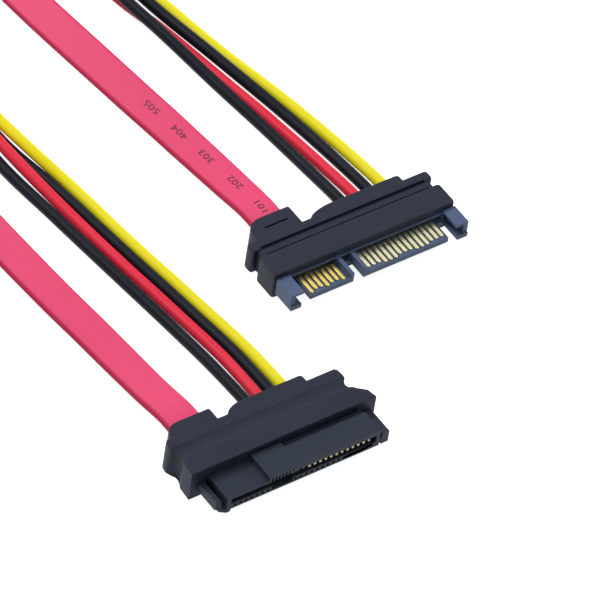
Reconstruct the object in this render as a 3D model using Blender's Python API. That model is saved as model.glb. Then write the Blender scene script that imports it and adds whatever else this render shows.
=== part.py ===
"""Adapter cable with a drive plug on one end and a wide drive receptacle on the other.

Lengths are millimetres and become metres as each mesh is made. Each connector is modelled in
its own frame: X runs along the row of contacts from signal to power, Y points back along the
cable from the front face of the overmould, and Z is up from the surface that it lies on.
"""

import math

import bmesh
import bpy
from mathutils import Vector

MM = 0.001

# Where the two connectors lie
SIDE_STEP = 44.3
FORWARD_STEP = 36.45

# Clearances between pieces
MOULD_GAP = 0.3
FRONT_GAP = 0.12
METAL_GAP = 0.06
CORD_GAP = 0.3
JACKET_GAP = 0.12
JOIN = 0.2
BITE = 0.8

# Contact rows that both connectors share
PITCH = 1.27
SIGNAL_COUNT = 7
POWER_COUNT = 15
POWER_GROUP = 3
FIRST_SIGNAL_X = -15.875
FIRST_POWER_X = -1.905
CONTACT_TAIL_Y = 5.5
BAR_Y = 3.85
BAR_DEPTH = 0.45
TAB_WIDTH = 1.6

# Cords
WIRE_DIAMETER = 2.45
FLAT_WIDTH = 7.75
FLAT_THICKNESS = 2.0
CORD_Z = 3.1
FLAT_END_Y = 8.6
STRAIGHT_RUN = 3.5

# Solder pad under the end of each power wire
PAD_THICKNESS = 0.25
PAD_GAP = 0.12
PAD_WIDTH = 2.2
PAD_LENGTH = 2.3
RISER_DEPTH = 0.3

# Plug overmould
PLUG_BODY_WIDTH = 43.6
PLUG_BODY_DEPTH = 5.7
PLUG_BODY_HEIGHT = 6.5
PLUG_NECK_INSET = 1.2
PLUG_NECK_DEPTH = 1.95
PLUG_NECK_BASE = 0.5
PLUG_NECK_TOP = 5.9
PLUG_FLANGE_INSET = 0.05
PLUG_FLANGE_DEPTH = 2.5
PLUG_FLANGE_DROP = 0.3
PLUG_EDGE = 0.3
PLUG_CORNER = 0.6
PLUG_CAVITY_INSET = 2.2
PLUG_CAVITY_BASE = 1.1
PLUG_CAVITY_TOP = 5.1
PLUG_CAVITY_DEPTH = 8.9
PLUG_FLAT_X = -12.5
PLUG_FLAT_BOSS_X = (-18.9, -8.1)
PLUG_FLAT_BOSS_REACH = 5.15
PLUG_FLAT_BOSS_Z = (1.0, 5.8)
PLUG_FLAT_BOSS_CORNERS = ((3.6, 3.4), (0.3, 0.8))
PLUG_FLAT_BOSS_RIMS = (1.5, 0.5)
PLUG_WIRE_BOSS_X = (-6.0, 16.4)
PLUG_WIRE_BOSS_REACH = 2.0
PLUG_WIRE_BOSS_SLOPE = 6.2
PLUG_WIRE_BOSS_Z = (0.6, 5.9)
WIRE_BOSS_CORNER = (0.9, 0.9)
WIRE_BOSS_RIMS = (0.45, 0.45)
PLUG_FIRST_WIRE_X = 3.65
PLUG_WIRE_PITCH = 3.35
PLUG_PAD_Y = 5.0

# Plug housing
ARM_INSET = 0.25
ARM_SHIFT = 0.2
ARM_BASE = 1.5
ARM_TOP = 5.4
ARM_WALL = 1.1
ARM_TOP_LIP = 3.0
ARM_BOTTOM_LIP = 2.5
ARM_TOP_THICKNESS = 0.65
ARM_BOTTOM_THICKNESS = 1.05
ARM_END_STEP = 0.15
ARM_TOP_REACH = 5.35
ARM_WALL_REACH = 5.4
ARM_BOTTOM_REACH = 5.75
POWER_ARM_SETBACK = 0.4
SILL_DEPTH = 0.4
SILL_TOP = 2.6
BLOCK_DEPTH = 3.6
BLOCK_RECESS_DEPTH = 1.2
BLOCK_RECESS_ROOF = 0.35
BLOCK_RECESS_SIDE = 0.6
TONGUE_BASE = 2.45
TONGUE_THICKNESS = 1.23
TONGUE_REACH = 5.55
TONGUE_SIDE = 0.82
TONGUE_GAP_SIDE = 1.97
POCKET_SIDE = 0.2
POCKET_KEY_GAP = 0.12
POCKET_TIP_ROOM = 0.1
KEY_HEIGHT = 2.4
KEY_WIDTH = 0.85
PLUG_CONTACT_WIDTH = 0.7
PLUG_CONTACT_THICKNESS = 0.35
PLUG_CONTACT_PROUD = 0.04
SHORT_TIP_Y = -4.7
LONG_TIP_Y = -5.15
TIP_CHAMFER = 0.26
LONG_SIGNALS = (0, 3, 6)
LONG_POWER_GROUPS = (1, 3)

# Receptacle overmould
REC_BODY_WIDTH = 43.0
REC_HEIGHT = 7.4
REC_RIGHT_INSETS = (0.1, 0.6, 1.8, 2.9, 3.55, 3.7, 3.4, 2.8, 2.7, 2.9, 3.4)
REC_RIGHT_YS = (0.0, 2.2, 3.3, 3.8, 4.6, 5.6, 6.4, 7.0, 7.6, 9.4, 9.9)
REC_LEFT_INSETS = (-0.2, 0.0, 0.4, 0.95, 1.2, 1.1, 0.7, 0.0, -0.2, 0.0, 0.5)
REC_LEFT_YS = (0.0, 3.2, 4.0, 4.6, 5.2, 6.2, 6.9, 7.5, 8.2, 9.4, 9.9)
REC_EDGE = 0.25
REC_VALLEY_Y = (4.3, 7.5)
REC_VALLEY_DEPTH = 0.3
REC_CAVITY_INSET = 4.7
REC_CAVITY_BASE = 1.3
REC_CAVITY_TOP = 6.5
REC_CAVITY_DEPTH = 8.9
REC_FLAT_X = -13.1
REC_FLAT_BOSS_X = (-19.7, -8.7)
REC_FLAT_BOSS_REACH = 3.5
REC_FLAT_BOSS_CORNERS = ((3.4, 3.2), (0.3, 0.8))
REC_FLAT_BOSS_RIMS = (0.9, 0.9)
REC_WIRE_BOSS_X = (-6.4, 12.2)
REC_WIRE_BOSS_REACH = 2.4
REC_WIRE_BOSS_SLOPE = 4.3
REC_BOSS_Z = (0.8, 6.7)
REC_FIRST_WIRE_X = 0.65
REC_WIRE_PITCH = 2.85
REC_PAD_Y = 6.3

# Receptacle housing
SHELL_HALF = 17.8
SHELL_REACH = 7.0
SHELL_BASE = 1.95
SHELL_TOP = 5.05
RAISED_FROM_X = -8.2
RAISED_TOP = 6.15
MOUTH_HALF = 16.95
MOUTH_BASE = 3.4
MOUTH_HEIGHT = 1.3
MOUTH_DEPTH = 5.8
POWER_MOUTH_FROM_X = -1.6
POWER_MOUTH_TOP = 5.05
ROOF_RECESS_FROM_X = -1.2
ROOF_RECESS_REACH = 1.5
ROOF_RECESS_FLOOR = 5.4
KEY_RECESS_X = (-7.4, -2.6)
KEY_RECESS_DEPTH = 0.95
CUT_OVERLAP = 0.3
LEFT_POST_OUTER = 20.1
RIGHT_POST_OUTER = 20.4
POST_INNER = 18.7
POST_BASE = 1.3
POST_TOP = 4.2
POST_CHAMFER_Z = 2.8
POST_FOOT_TOP = 2.2
POST_FOOT_IN = 16.9
POST_FOOT_OUT = 19.0
LEFT_POST_REACH = 7.0
LEFT_POST_TAPER = 0.6
LEFT_POST_TIP = 1.3
RIGHT_POST_REACH = 6.5
WEB_TOP = 2.6
WEB_REACH = 5.4
WEB_SINK = 0.05
REC_BLOCK_BASE = 1.6
REC_BLOCK_TOP = 6.2
REC_BLOCK_START = 0.3
REC_LINK_BASE = 2.0
REC_LINK_TOP = 5.0
REC_LINK_REACH = 0.6
BEAM_WIDTH = 0.6
BEAM_THICKNESS = 0.25
BEAM_Z = 2.6
BACK_NOSE_Y = -5.4
FRONT_NOSE_Y = -5.75
BEAM_NOSE_RISE = 0.45
BEAM_TIP_LENGTH = 0.5
FRONT_NOSE_GROUPS = (1, 2, 3, 4)
BEAM_ROOT_Y = -2.0
GROOVE_SIDE_GAP = 0.08
TIP_ROOM = 0.2
LIP_POCKET_WIDTH = 0.56
LIP_POCKET_Z = (2.35, 3.1)
LIP_POCKET_DEPTH = 0.5
SECOND_PORT_PITCH = 0.8
SECOND_PORT_WIDTH = 0.42
SECOND_PORT_Z = 5.2
SECOND_NOTCH_WIDTH = 0.4
SECOND_NOTCH_TOP = 5.75
SECOND_NOTCH_DEPTH = 0.6

# Bare cores inside the overmoulds
CORE_DIAMETER = 0.9
DRAIN_DIAMETER = 0.4
CORE_SIGNALS = (1, 2, 4, 5)
DRAIN_SIGNALS = (0, 3, 6)
CORE_GAP = 0.25
CORE_SPREAD = 0.82

# Bundle of wires past the stretch that fans out
BUNDLE_RADIUS = 2.0
BUNDLE_HALF_TURN = -math.pi
SMOOTH_STEPS = 12

# Cord sampling
FLAT_STEP = 8.2
WIRE_STEP = 5.6

# Finishes: sRGB colour, roughness, metallic
OVERMOULD_FINISH = ("overmould", (0x34, 0x3A, 0x48), 0.55, 0.0)
PLUG_PLASTIC_FINISH = ("plug_plastic", (0x4F, 0x5B, 0x78), 0.45, 0.0)
REC_PLASTIC_FINISH = ("receptacle_plastic", (0x30, 0x37, 0x45), 0.5, 0.0)
GOLD_FINISH = ("gold_plate", (0xE8, 0xC8, 0x50), 0.3, 1.0)
PALE_GOLD_FINISH = ("pale_gold_plate", (0xE4, 0xDC, 0xA4), 0.3, 1.0)
FLAT_FINISH = ("pink_jacket", (0xF0, 0x50, 0x7A), 0.5, 0.0)
BLACK_FINISH = ("black_jacket", (0x23, 0x26, 0x2E), 0.4, 0.0)
RED_FINISH = ("red_jacket", (0xE8, 0x28, 0x40), 0.4, 0.0)
YELLOW_FINISH = ("yellow_jacket", (0xF2, 0xE2, 0x1B), 0.4, 0.0)
COPPER_FINISH = ("tinned_copper", (0xC8, 0xB8, 0xA0), 0.35, 1.0)
CORE_FINISH = ("core_insulation", (0xD8, 0xD8, 0xD0), 0.5, 0.0)

# Places that follow from the sizes
REC_REAR_Y = REC_RIGHT_YS[-1]
PLUG_REAR_Y = PLUG_BODY_DEPTH + PLUG_NECK_DEPTH + PLUG_FLANGE_DEPTH
PLUG_X = (SIDE_STEP + REC_BODY_WIDTH / 2 - min(REC_LEFT_INSETS) - PLUG_BODY_WIDTH / 2) / 2
PLUG_Y = (FORWARD_STEP + SHELL_REACH - PLUG_REAR_Y - PLUG_FLAT_BOSS_REACH) / 2
PLUG_AT = Vector((PLUG_X, PLUG_Y, 0.0))
REC_AT = Vector((PLUG_X - SIDE_STEP, PLUG_Y - FORWARD_STEP, 0.0))
SIGNAL_XS = tuple(FIRST_SIGNAL_X + PITCH * i for i in range(SIGNAL_COUNT))
POWER_XS = tuple(FIRST_POWER_X + PITCH * i for i in range(POWER_COUNT))
TONGUE_TOP = TONGUE_BASE + TONGUE_THICKNESS
KEY_TOP = TONGUE_BASE + KEY_HEIGHT
PLUG_METAL_TOP = TONGUE_TOP + PLUG_CONTACT_PROUD
PLUG_METAL_BASE = PLUG_METAL_TOP - PLUG_CONTACT_THICKNESS
MOUTH_TOP = MOUTH_BASE + MOUTH_HEIGHT
SECOND_PORT_MID = (SIGNAL_XS[-1] + POWER_XS[0]) / 2
SECOND_PORT_XS = tuple(SECOND_PORT_MID + SECOND_PORT_PITCH * (i - 3) for i in range(SIGNAL_COUNT))
WIRE_NAMES = ("black_1", "red", "black_2", "yellow")
PLUG_WIRE_XS = tuple(PLUG_FIRST_WIRE_X + PLUG_WIRE_PITCH * i for i in range(4))
REC_WIRE_XS = tuple(REC_FIRST_WIRE_X + REC_WIRE_PITCH * i for i in range(4))
WIRE_HOLE_RADIUS = WIRE_DIAMETER / 2 + JACKET_GAP
PLUG_CAVITY_HALF = PLUG_BODY_WIDTH / 2 - PLUG_CAVITY_INSET
REC_CAVITY_HALF = REC_BODY_WIDTH / 2 - REC_CAVITY_INSET
GROUPS = POWER_COUNT // POWER_GROUP


def clear_scene():
    """Remove every object, so that the script gives the same model each time."""
    for old in list(bpy.data.objects):
        bpy.data.objects.remove(old, do_unlink=True)


def material_of(finish):
    """Return the Principled material of a finish, made once."""
    name, colour, roughness, metallic = finish
    found = bpy.data.materials.get(name)
    if found:
        return found
    made = bpy.data.materials.new(name)
    made.use_nodes = True
    shader = made.node_tree.nodes["Principled BSDF"]
    linear = [((c / 255 + 0.055) / 1.055) ** 2.4 for c in colour]
    shader.inputs["Base Color"].default_value = (*linear, 1.0)
    shader.inputs["Roughness"].default_value = roughness
    shader.inputs["Metallic"].default_value = metallic
    made.diffuse_color = (*linear, 1.0)
    return made


def place(name, bm, at, finish):
    """Turn a bmesh drawn in millimetres into an object whose frame lies at a point."""
    bmesh.ops.recalc_face_normals(bm, faces=bm.faces)
    bmesh.ops.scale(bm, vec=(MM, MM, MM), verts=bm.verts)
    mesh = bpy.data.meshes.new(name)
    bm.to_mesh(mesh)
    bm.free()
    obj = bpy.data.objects.new(name, mesh)
    obj.location = at * MM
    bpy.context.collection.objects.link(obj)
    if finish:
        mesh.materials.append(material_of(finish))
    return obj


def tool(name, bm, at):
    """Place a hidden shape that a Boolean modifier uses."""
    obj = place(name, bm, at, None)
    obj.hide_render = True
    obj.display_type = "WIRE"
    return obj


def combine(obj, operation, operand):
    """Add an exact Boolean with a hidden shape."""
    step = obj.modifiers.new(operand.name, "BOOLEAN")
    step.operation = operation
    step.solver = "EXACT"
    step.object = operand


def add_box(bm, xs, ys, zs):
    """Add a box between three pairs of limits."""
    corners = [bm.verts.new((x, y, z)) for z in sorted(zs) for y in sorted(ys) for x in sorted(xs)]
    for a, b, c, d in ((0, 2, 3, 1), (4, 5, 7, 6), (0, 1, 5, 4), (2, 6, 7, 3), (0, 4, 6, 2), (1, 3, 7, 5)):
        bm.faces.new((corners[a], corners[b], corners[c], corners[d]))


def add_prism(bm, outline, limits, axis):
    """Add a solid with a flat outline, drawn across the axis that it runs along."""
    def corner(p, height):
        if axis == "Z":
            return (p[0], p[1], height)
        if axis == "Y":
            return (p[0], height, p[1])
        return (height, p[0], p[1])

    low = [bm.verts.new(corner(p, limits[0])) for p in outline]
    high = [bm.verts.new(corner(p, limits[1])) for p in outline]
    count = len(outline)
    for i in range(count):
        j = (i + 1) % count
        bm.faces.new((low[i], low[j], high[j], high[i]))
    bm.faces.new(list(reversed(low)))
    bm.faces.new(high)


def soften(bm, width, segments=2, keep=None):
    """Round the edges of the shape drawn so far, or those that keep accepts."""
    edges = [e for e in bm.edges if keep is None or keep(e)]
    bmesh.ops.bevel(bm, geom=edges, offset=width, segments=segments, affect="EDGES", profile=0.5,
                    clamp_overlap=True)


def arc(centre, radius, start, end, steps):
    """Return points of an arc in a plane, angles in degrees."""
    points = []
    for i in range(steps + 1):
        angle = math.radians(start + (end - start) * i / steps)
        points.append((centre[0] + radius[0] * math.cos(angle), centre[1] + radius[1] * math.sin(angle)))
    return points


def boss_outline(xs, y0, y1, left, right):
    """Outline of a cable boss seen from above, with a rounded corner on each side.

    left and right are the half axes of the corner's ellipse.
    """
    points = [(xs[0], y0), (xs[1], y0)]
    points += arc((xs[1] - right[0], y1 - right[1]), right, 0, 90, 4)
    points += arc((xs[0] + left[0], y1 - left[1]), left, 90, 180, 6)
    return points


def add_boss(bm, outline, limits, rims):
    """Add a cable boss and round the rims of its underside and top, but not where it joins the flange."""
    add_prism(bm, outline, limits, "Z")
    start = min(p[1] for p in outline)
    for level, rim in zip(limits, rims):
        soften(bm, rim, 2, lambda e: all(abs(v.co.z - level) < 1e-6 for v in e.verts)
               and max(v.co.y for v in e.verts) > start + 1e-6)


def add_grip_block(bm, half, ys, zs):
    """Add a box with rounded upright corners and finer rounding along its top and bottom rims."""
    add_box(bm, (-half, half), ys, zs)
    soften(bm, PLUG_CORNER, 2, lambda e: abs(e.verts[0].co.z - e.verts[1].co.z) > 1e-6)
    soften(bm, PLUG_EDGE, 2, lambda e: abs(e.verts[0].co.z - e.verts[1].co.z) < 1e-6)


def plug_overmould():
    """Moulded grip of the plug: body, neck, flange and two cable bosses round a hollow."""
    rear = PLUG_REAR_Y
    neck_start = PLUG_BODY_DEPTH
    neck_end = neck_start + PLUG_NECK_DEPTH
    bm = bmesh.new()
    half = PLUG_BODY_WIDTH / 2
    add_grip_block(bm, half, (0, PLUG_BODY_DEPTH), (0, PLUG_BODY_HEIGHT))
    obj = place("plug_overmould", bm, PLUG_AT, OVERMOULD_FINISH)

    bm = bmesh.new()
    neck_half = half - PLUG_NECK_INSET
    add_box(bm, (-neck_half, neck_half), (neck_start - BITE, neck_end + BITE),
            (PLUG_NECK_BASE, PLUG_NECK_TOP))
    combine(obj, "UNION", tool("plug_neck_tool", bm, PLUG_AT))

    bm = bmesh.new()
    add_grip_block(bm, half - PLUG_FLANGE_INSET, (neck_end, rear), (0, PLUG_BODY_HEIGHT - PLUG_FLANGE_DROP))
    combine(obj, "UNION", tool("plug_flange_tool", bm, PLUG_AT))

    bm = bmesh.new()
    outline = boss_outline(PLUG_FLAT_BOSS_X, rear - BITE, rear + PLUG_FLAT_BOSS_REACH,
                           *PLUG_FLAT_BOSS_CORNERS)
    add_boss(bm, outline, PLUG_FLAT_BOSS_Z, PLUG_FLAT_BOSS_RIMS)
    combine(obj, "UNION", tool("plug_flat_boss_tool", bm, PLUG_AT))

    bm = bmesh.new()
    outline = boss_outline(PLUG_WIRE_BOSS_X, rear - BITE, rear + PLUG_WIRE_BOSS_REACH,
                           (PLUG_WIRE_BOSS_SLOPE, PLUG_WIRE_BOSS_REACH), WIRE_BOSS_CORNER)
    add_boss(bm, outline, PLUG_WIRE_BOSS_Z, WIRE_BOSS_RIMS)
    combine(obj, "UNION", tool("plug_wire_boss_tool", bm, PLUG_AT))

    bm = bmesh.new()
    add_box(bm, (-PLUG_CAVITY_HALF, PLUG_CAVITY_HALF), (-BITE, PLUG_CAVITY_DEPTH),
            (PLUG_CAVITY_BASE, PLUG_CAVITY_TOP))
    combine(obj, "DIFFERENCE", tool("plug_cavity_tool", bm, PLUG_AT))
    cut_cord_ways(obj, "plug", PLUG_AT, PLUG_FLAT_X, PLUG_WIRE_XS, PLUG_CAVITY_DEPTH,
                  rear + PLUG_FLAT_BOSS_REACH)


def cut_cord_ways(obj, end, at, flat_x, wire_xs, start, stop):
    """Cut the slot for the flat cable and the four wire holes through an overmould."""
    bm = bmesh.new()
    straight = (FLAT_WIDTH - FLAT_THICKNESS) / 2
    radius = FLAT_THICKNESS / 2 + JACKET_GAP
    outline = arc((flat_x + straight, CORD_Z), (radius, radius), -90, 90, 6)
    outline += arc((flat_x - straight, CORD_Z), (radius, radius), 90, 270, 6)
    add_prism(bm, outline, (start - BITE, stop + BITE), "Y")
    for x in wire_xs:
        outline = arc((x, CORD_Z), (WIRE_HOLE_RADIUS, WIRE_HOLE_RADIUS), 0, 330, 11)
        add_prism(bm, outline, (start - BITE, stop + BITE), "Y")
    combine(obj, "DIFFERENCE", tool(f"{end}_cord_way_tool", bm, at))


def tongue_limits():
    """Return the limits in X of the signal tongue and of the power tongue."""
    signal = (SIGNAL_XS[0] - TONGUE_SIDE, SIGNAL_XS[-1] + TONGUE_GAP_SIDE)
    power = (POWER_XS[0] - TONGUE_GAP_SIDE, POWER_XS[-1] + TONGUE_SIDE)
    return signal, power


def plug_tip(kind, index):
    """Return the Y of a plug contact's tip: the first ones to mate reach further."""
    is_long = index in LONG_SIGNALS if kind == "signal" else index // POWER_GROUP in LONG_POWER_GROUPS
    return LONG_TIP_Y if is_long else SHORT_TIP_Y


def pocket_outline(kind, xs, x_limits):
    """Outline from above of the sunk floor under a row of plug contacts, stepped to their tips."""
    start = BLOCK_RECESS_DEPTH - JOIN
    points = [(x_limits[1], start), (x_limits[0], start)]
    edges = [x_limits[0]] + [(a + b) / 2 for a, b in zip(xs, xs[1:])] + [x_limits[1]]
    floors = [plug_tip(kind, i) - POCKET_TIP_ROOM for i in range(len(xs))]
    for i, y in enumerate(floors):
        if points[-1][1] != y:
            points.append((edges[i], y))
        if i + 1 == len(xs) or floors[i + 1] != y:
            points.append((edges[i + 1], y))
    return points


def plug_housing():
    """Plastic core of the plug: sill, two C arms, two tongues with keys, and the hollowed rear block."""
    front = -FRONT_GAP
    half = PLUG_BODY_WIDTH / 2 - ARM_INSET
    bm = bmesh.new()
    add_box(bm, (ARM_SHIFT - half, ARM_SHIFT + half), (front - SILL_DEPTH, front), (ARM_BASE, SILL_TOP))
    obj = place("plug_housing", bm, PLUG_AT, PLUG_PLASTIC_FINISH)

    bm = bmesh.new()
    block_half = PLUG_CAVITY_HALF - MOULD_GAP
    block_top = PLUG_CAVITY_TOP - MOULD_GAP
    add_box(bm, (-block_half, block_half), (front - JOIN, BLOCK_DEPTH),
            (PLUG_CAVITY_BASE + MOULD_GAP, block_top))
    combine(obj, "UNION", tool("plug_block_tool", bm, PLUG_AT))
    bm = bmesh.new()
    recess_half = block_half - BLOCK_RECESS_SIDE
    add_box(bm, (-recess_half, recess_half), (-SILL_DEPTH - BITE, BLOCK_RECESS_DEPTH),
            (SILL_TOP, block_top - BLOCK_RECESS_ROOF))
    combine(obj, "DIFFERENCE", tool("plug_recess_tool", bm, PLUG_AT))

    for side in (-1, 1):
        setback = POWER_ARM_SETBACK if side > 0 else 0.0
        outer = ARM_SHIFT + side * half
        wall = outer - side * ARM_WALL
        top = outer - side * ARM_TOP_LIP
        bottom = outer - side * ARM_BOTTOM_LIP
        past = outer - side * (ARM_TOP_LIP + ARM_BOTTOM_LIP)
        lip_base = ARM_TOP - ARM_TOP_THICKNESS
        lip_top = ARM_BASE + ARM_BOTTOM_THICKNESS
        outline = [(outer, ARM_BASE), (outer, ARM_TOP), (top, ARM_TOP), (top, lip_base), (wall, lip_base),
                   (wall, lip_top), (bottom, lip_top), (bottom, ARM_BASE)]
        bm = bmesh.new()
        add_prism(bm, outline, (-ARM_BOTTOM_REACH + setback, front), "Y")
        combine(obj, "UNION", tool(f"plug_arm_tool_{side + 1}", bm, PLUG_AT))
        bm = bmesh.new()
        add_box(bm, (wall, past), (-ARM_BOTTOM_REACH - BITE, -ARM_TOP_REACH + setback),
                (lip_top + ARM_END_STEP, ARM_TOP + BITE))
        combine(obj, "DIFFERENCE", tool(f"plug_lip_tool_{side + 1}", bm, PLUG_AT))
        bm = bmesh.new()
        add_box(bm, (outer + side * BITE, past), (-ARM_BOTTOM_REACH - BITE, -ARM_WALL_REACH + setback),
                (lip_top, ARM_TOP + BITE))
        combine(obj, "DIFFERENCE", tool(f"plug_wall_tool_{side + 1}", bm, PLUG_AT))

    signal, power = tongue_limits()
    for name, limits, key_side in (("signal", signal, 1), ("power", power, 0)):
        x0, x1 = limits
        key_inner = limits[key_side] + (-KEY_WIDTH if key_side else KEY_WIDTH)
        if key_side:
            outline = [(x0, TONGUE_BASE), (x1, TONGUE_BASE), (x1, KEY_TOP), (key_inner, KEY_TOP),
                       (key_inner, TONGUE_TOP), (x0, TONGUE_TOP)]
        else:
            outline = [(x0, TONGUE_BASE), (x1, TONGUE_BASE), (x1, TONGUE_TOP), (key_inner, TONGUE_TOP),
                       (key_inner, KEY_TOP), (x0, KEY_TOP)]
        bm = bmesh.new()
        add_prism(bm, outline, (-TONGUE_REACH, BLOCK_RECESS_DEPTH + JOIN), "Y")
        combine(obj, "UNION", tool(f"plug_{name}_tongue_tool", bm, PLUG_AT))

    slots = bmesh.new()
    pockets = bmesh.new()
    floor_z = PLUG_METAL_BASE - METAL_GAP
    key_room = KEY_WIDTH + POCKET_KEY_GAP
    for kind, xs, limits in (("signal", SIGNAL_XS, (signal[0] + POCKET_SIDE, signal[1] - key_room)),
                             ("power", POWER_XS, (power[0] + key_room, power[1] - POCKET_SIDE))):
        for x in xs:
            reach = PLUG_CONTACT_WIDTH / 2 + METAL_GAP
            add_box(slots, (x - reach, x + reach), (BLOCK_RECESS_DEPTH - 2 * JOIN, BLOCK_DEPTH + JOIN),
                    (floor_z, PLUG_METAL_TOP + METAL_GAP))
        add_prism(pockets, pocket_outline(kind, xs, limits), (floor_z, TONGUE_TOP + JOIN), "Z")
    combine(obj, "DIFFERENCE", tool("plug_slot_tool", slots, PLUG_AT))
    combine(obj, "DIFFERENCE", tool("plug_pocket_tool", pockets, PLUG_AT))


def blade_outline(x, width, tip_y, tail_y):
    """Outline from above of one flat contact with a chamfered tip."""
    half = width / 2
    chamfer = min(TIP_CHAMFER, half - 0.05)
    return [(x - half, tail_y), (x - half, tip_y + chamfer), (x - half + chamfer, tip_y),
            (x + half - chamfer, tip_y), (x + half, tip_y + chamfer), (x + half, tail_y)]


def comb_outline(xs, tip_ys, width):
    """Outline from above of contacts joined by a bar behind the housing."""
    points = []
    for i, (x, tip_y) in enumerate(zip(xs, tip_ys)):
        finger = blade_outline(x, width, tip_y, BAR_Y)
        if i == 0:
            finger[0] = (finger[0][0], BAR_Y + BAR_DEPTH)
        if i == len(xs) - 1:
            finger[-1] = (finger[-1][0], BAR_Y + BAR_DEPTH)
        points += finger
    return points


def add_pad(obj, name, at, bar_x, bar_z, pad_x, pad_y):
    """Join a slanting tab, a riser and the pad under a wire's end to a terminal's bar."""
    tab_start = BAR_Y + BAR_DEPTH / 2
    tab_half = TAB_WIDTH / 2
    bm = bmesh.new()
    outline = [(bar_x - tab_half, tab_start), (bar_x + tab_half, tab_start),
               (pad_x + tab_half, pad_y - RISER_DEPTH / 2), (pad_x - tab_half, pad_y - RISER_DEPTH / 2)]
    add_prism(bm, outline, bar_z, "Z")
    combine(obj, "UNION", tool(f"{name}_tab_tool", bm, at))

    top = CORD_Z - WIRE_DIAMETER / 2 - PAD_GAP
    base = top - PAD_THICKNESS
    sink = PAD_THICKNESS / 5
    bm = bmesh.new()
    add_box(bm, (pad_x - tab_half + sink, pad_x + tab_half - sink), (pad_y - RISER_DEPTH, pad_y + sink),
            (base + sink, max(bar_z) + sink))
    combine(obj, "UNION", tool(f"{name}_riser_tool", bm, at))

    bm = bmesh.new()
    add_box(bm, (pad_x - PAD_WIDTH / 2, pad_x + PAD_WIDTH / 2), (pad_y - RISER_DEPTH / 2, pad_y + PAD_LENGTH),
            (base, top))
    combine(obj, "UNION", tool(f"{name}_pad_tool", bm, at))


def plug_contacts():
    """Seven signal contacts and five three-finger power terminals of the plug."""
    metal = (PLUG_METAL_BASE, PLUG_METAL_TOP)
    for i, x in enumerate(SIGNAL_XS):
        bm = bmesh.new()
        outline = blade_outline(x, PLUG_CONTACT_WIDTH, plug_tip("signal", i), CONTACT_TAIL_Y)
        add_prism(bm, outline, metal, "Z")
        place(f"plug_signal_contact_{i + 1}", bm, PLUG_AT, GOLD_FINISH)
    for group in range(GROUPS):
        first = group * POWER_GROUP
        xs = POWER_XS[first:first + POWER_GROUP]
        tips = [plug_tip("power", first + i) for i in range(POWER_GROUP)]
        bm = bmesh.new()
        add_prism(bm, comb_outline(xs, tips, PLUG_CONTACT_WIDTH), metal, "Z")
        name = f"plug_power_terminal_{group + 1}"
        obj = place(name, bm, PLUG_AT, PALE_GOLD_FINISH)
        if group:
            add_pad(obj, name, PLUG_AT, sum(xs) / POWER_GROUP, metal, PLUG_WIRE_XS[group - 1], PLUG_PAD_Y)


def receptacle_outline():
    """Outline of the receptacle overmould from above: flared body, coved neck and flange."""
    half = REC_BODY_WIDTH / 2
    right = [(half - inset, y) for inset, y in zip(REC_RIGHT_INSETS, REC_RIGHT_YS)]
    left = [(inset - half, y) for inset, y in zip(REC_LEFT_INSETS, REC_LEFT_YS)]
    return right + list(reversed(left))


def receptacle_overmould():
    """Moulded grip of the receptacle: flared body, coved neck, flange and two cable bosses."""
    bm = bmesh.new()
    add_prism(bm, receptacle_outline(), (0, REC_HEIGHT), "Z")
    soften(bm, REC_EDGE, 2, lambda e: abs(e.verts[0].co.z - e.verts[1].co.z) < 1e-6)
    obj = place("receptacle_overmould", bm, REC_AT, OVERMOULD_FINISH)

    wire_corners = ((REC_WIRE_BOSS_SLOPE, REC_WIRE_BOSS_REACH), WIRE_BOSS_CORNER)
    for name, xs, reach, corners, rims in (
            ("flat", REC_FLAT_BOSS_X, REC_FLAT_BOSS_REACH, REC_FLAT_BOSS_CORNERS, REC_FLAT_BOSS_RIMS),
            ("wire", REC_WIRE_BOSS_X, REC_WIRE_BOSS_REACH, wire_corners, WIRE_BOSS_RIMS)):
        bm = bmesh.new()
        add_boss(bm, boss_outline(xs, REC_REAR_Y - BITE, REC_REAR_Y + reach, *corners), REC_BOSS_Z, rims)
        combine(obj, "UNION", tool(f"receptacle_{name}_boss_tool", bm, REC_AT))

    bm = bmesh.new()
    valley_half = (REC_VALLEY_Y[1] - REC_VALLEY_Y[0]) / 2
    valley_mid = sum(REC_VALLEY_Y) / 2
    outline = arc((valley_mid, REC_HEIGHT), (valley_half, REC_VALLEY_DEPTH), -180, 0, 6)
    outline += [(REC_VALLEY_Y[1], REC_HEIGHT + BITE), (REC_VALLEY_Y[0], REC_HEIGHT + BITE)]
    add_prism(bm, outline, (-REC_BODY_WIDTH, REC_BODY_WIDTH), "X")
    combine(obj, "DIFFERENCE", tool("receptacle_valley_tool", bm, REC_AT))

    bm = bmesh.new()
    add_box(bm, (-REC_CAVITY_HALF, REC_CAVITY_HALF), (-BITE, REC_CAVITY_DEPTH),
            (REC_CAVITY_BASE, REC_CAVITY_TOP))
    combine(obj, "DIFFERENCE", tool("receptacle_cavity_tool", bm, REC_AT))
    cut_cord_ways(obj, "receptacle", REC_AT, REC_FLAT_X, REC_WIRE_XS, REC_CAVITY_DEPTH,
                  REC_REAR_Y + REC_FLAT_BOSS_REACH)


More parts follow.
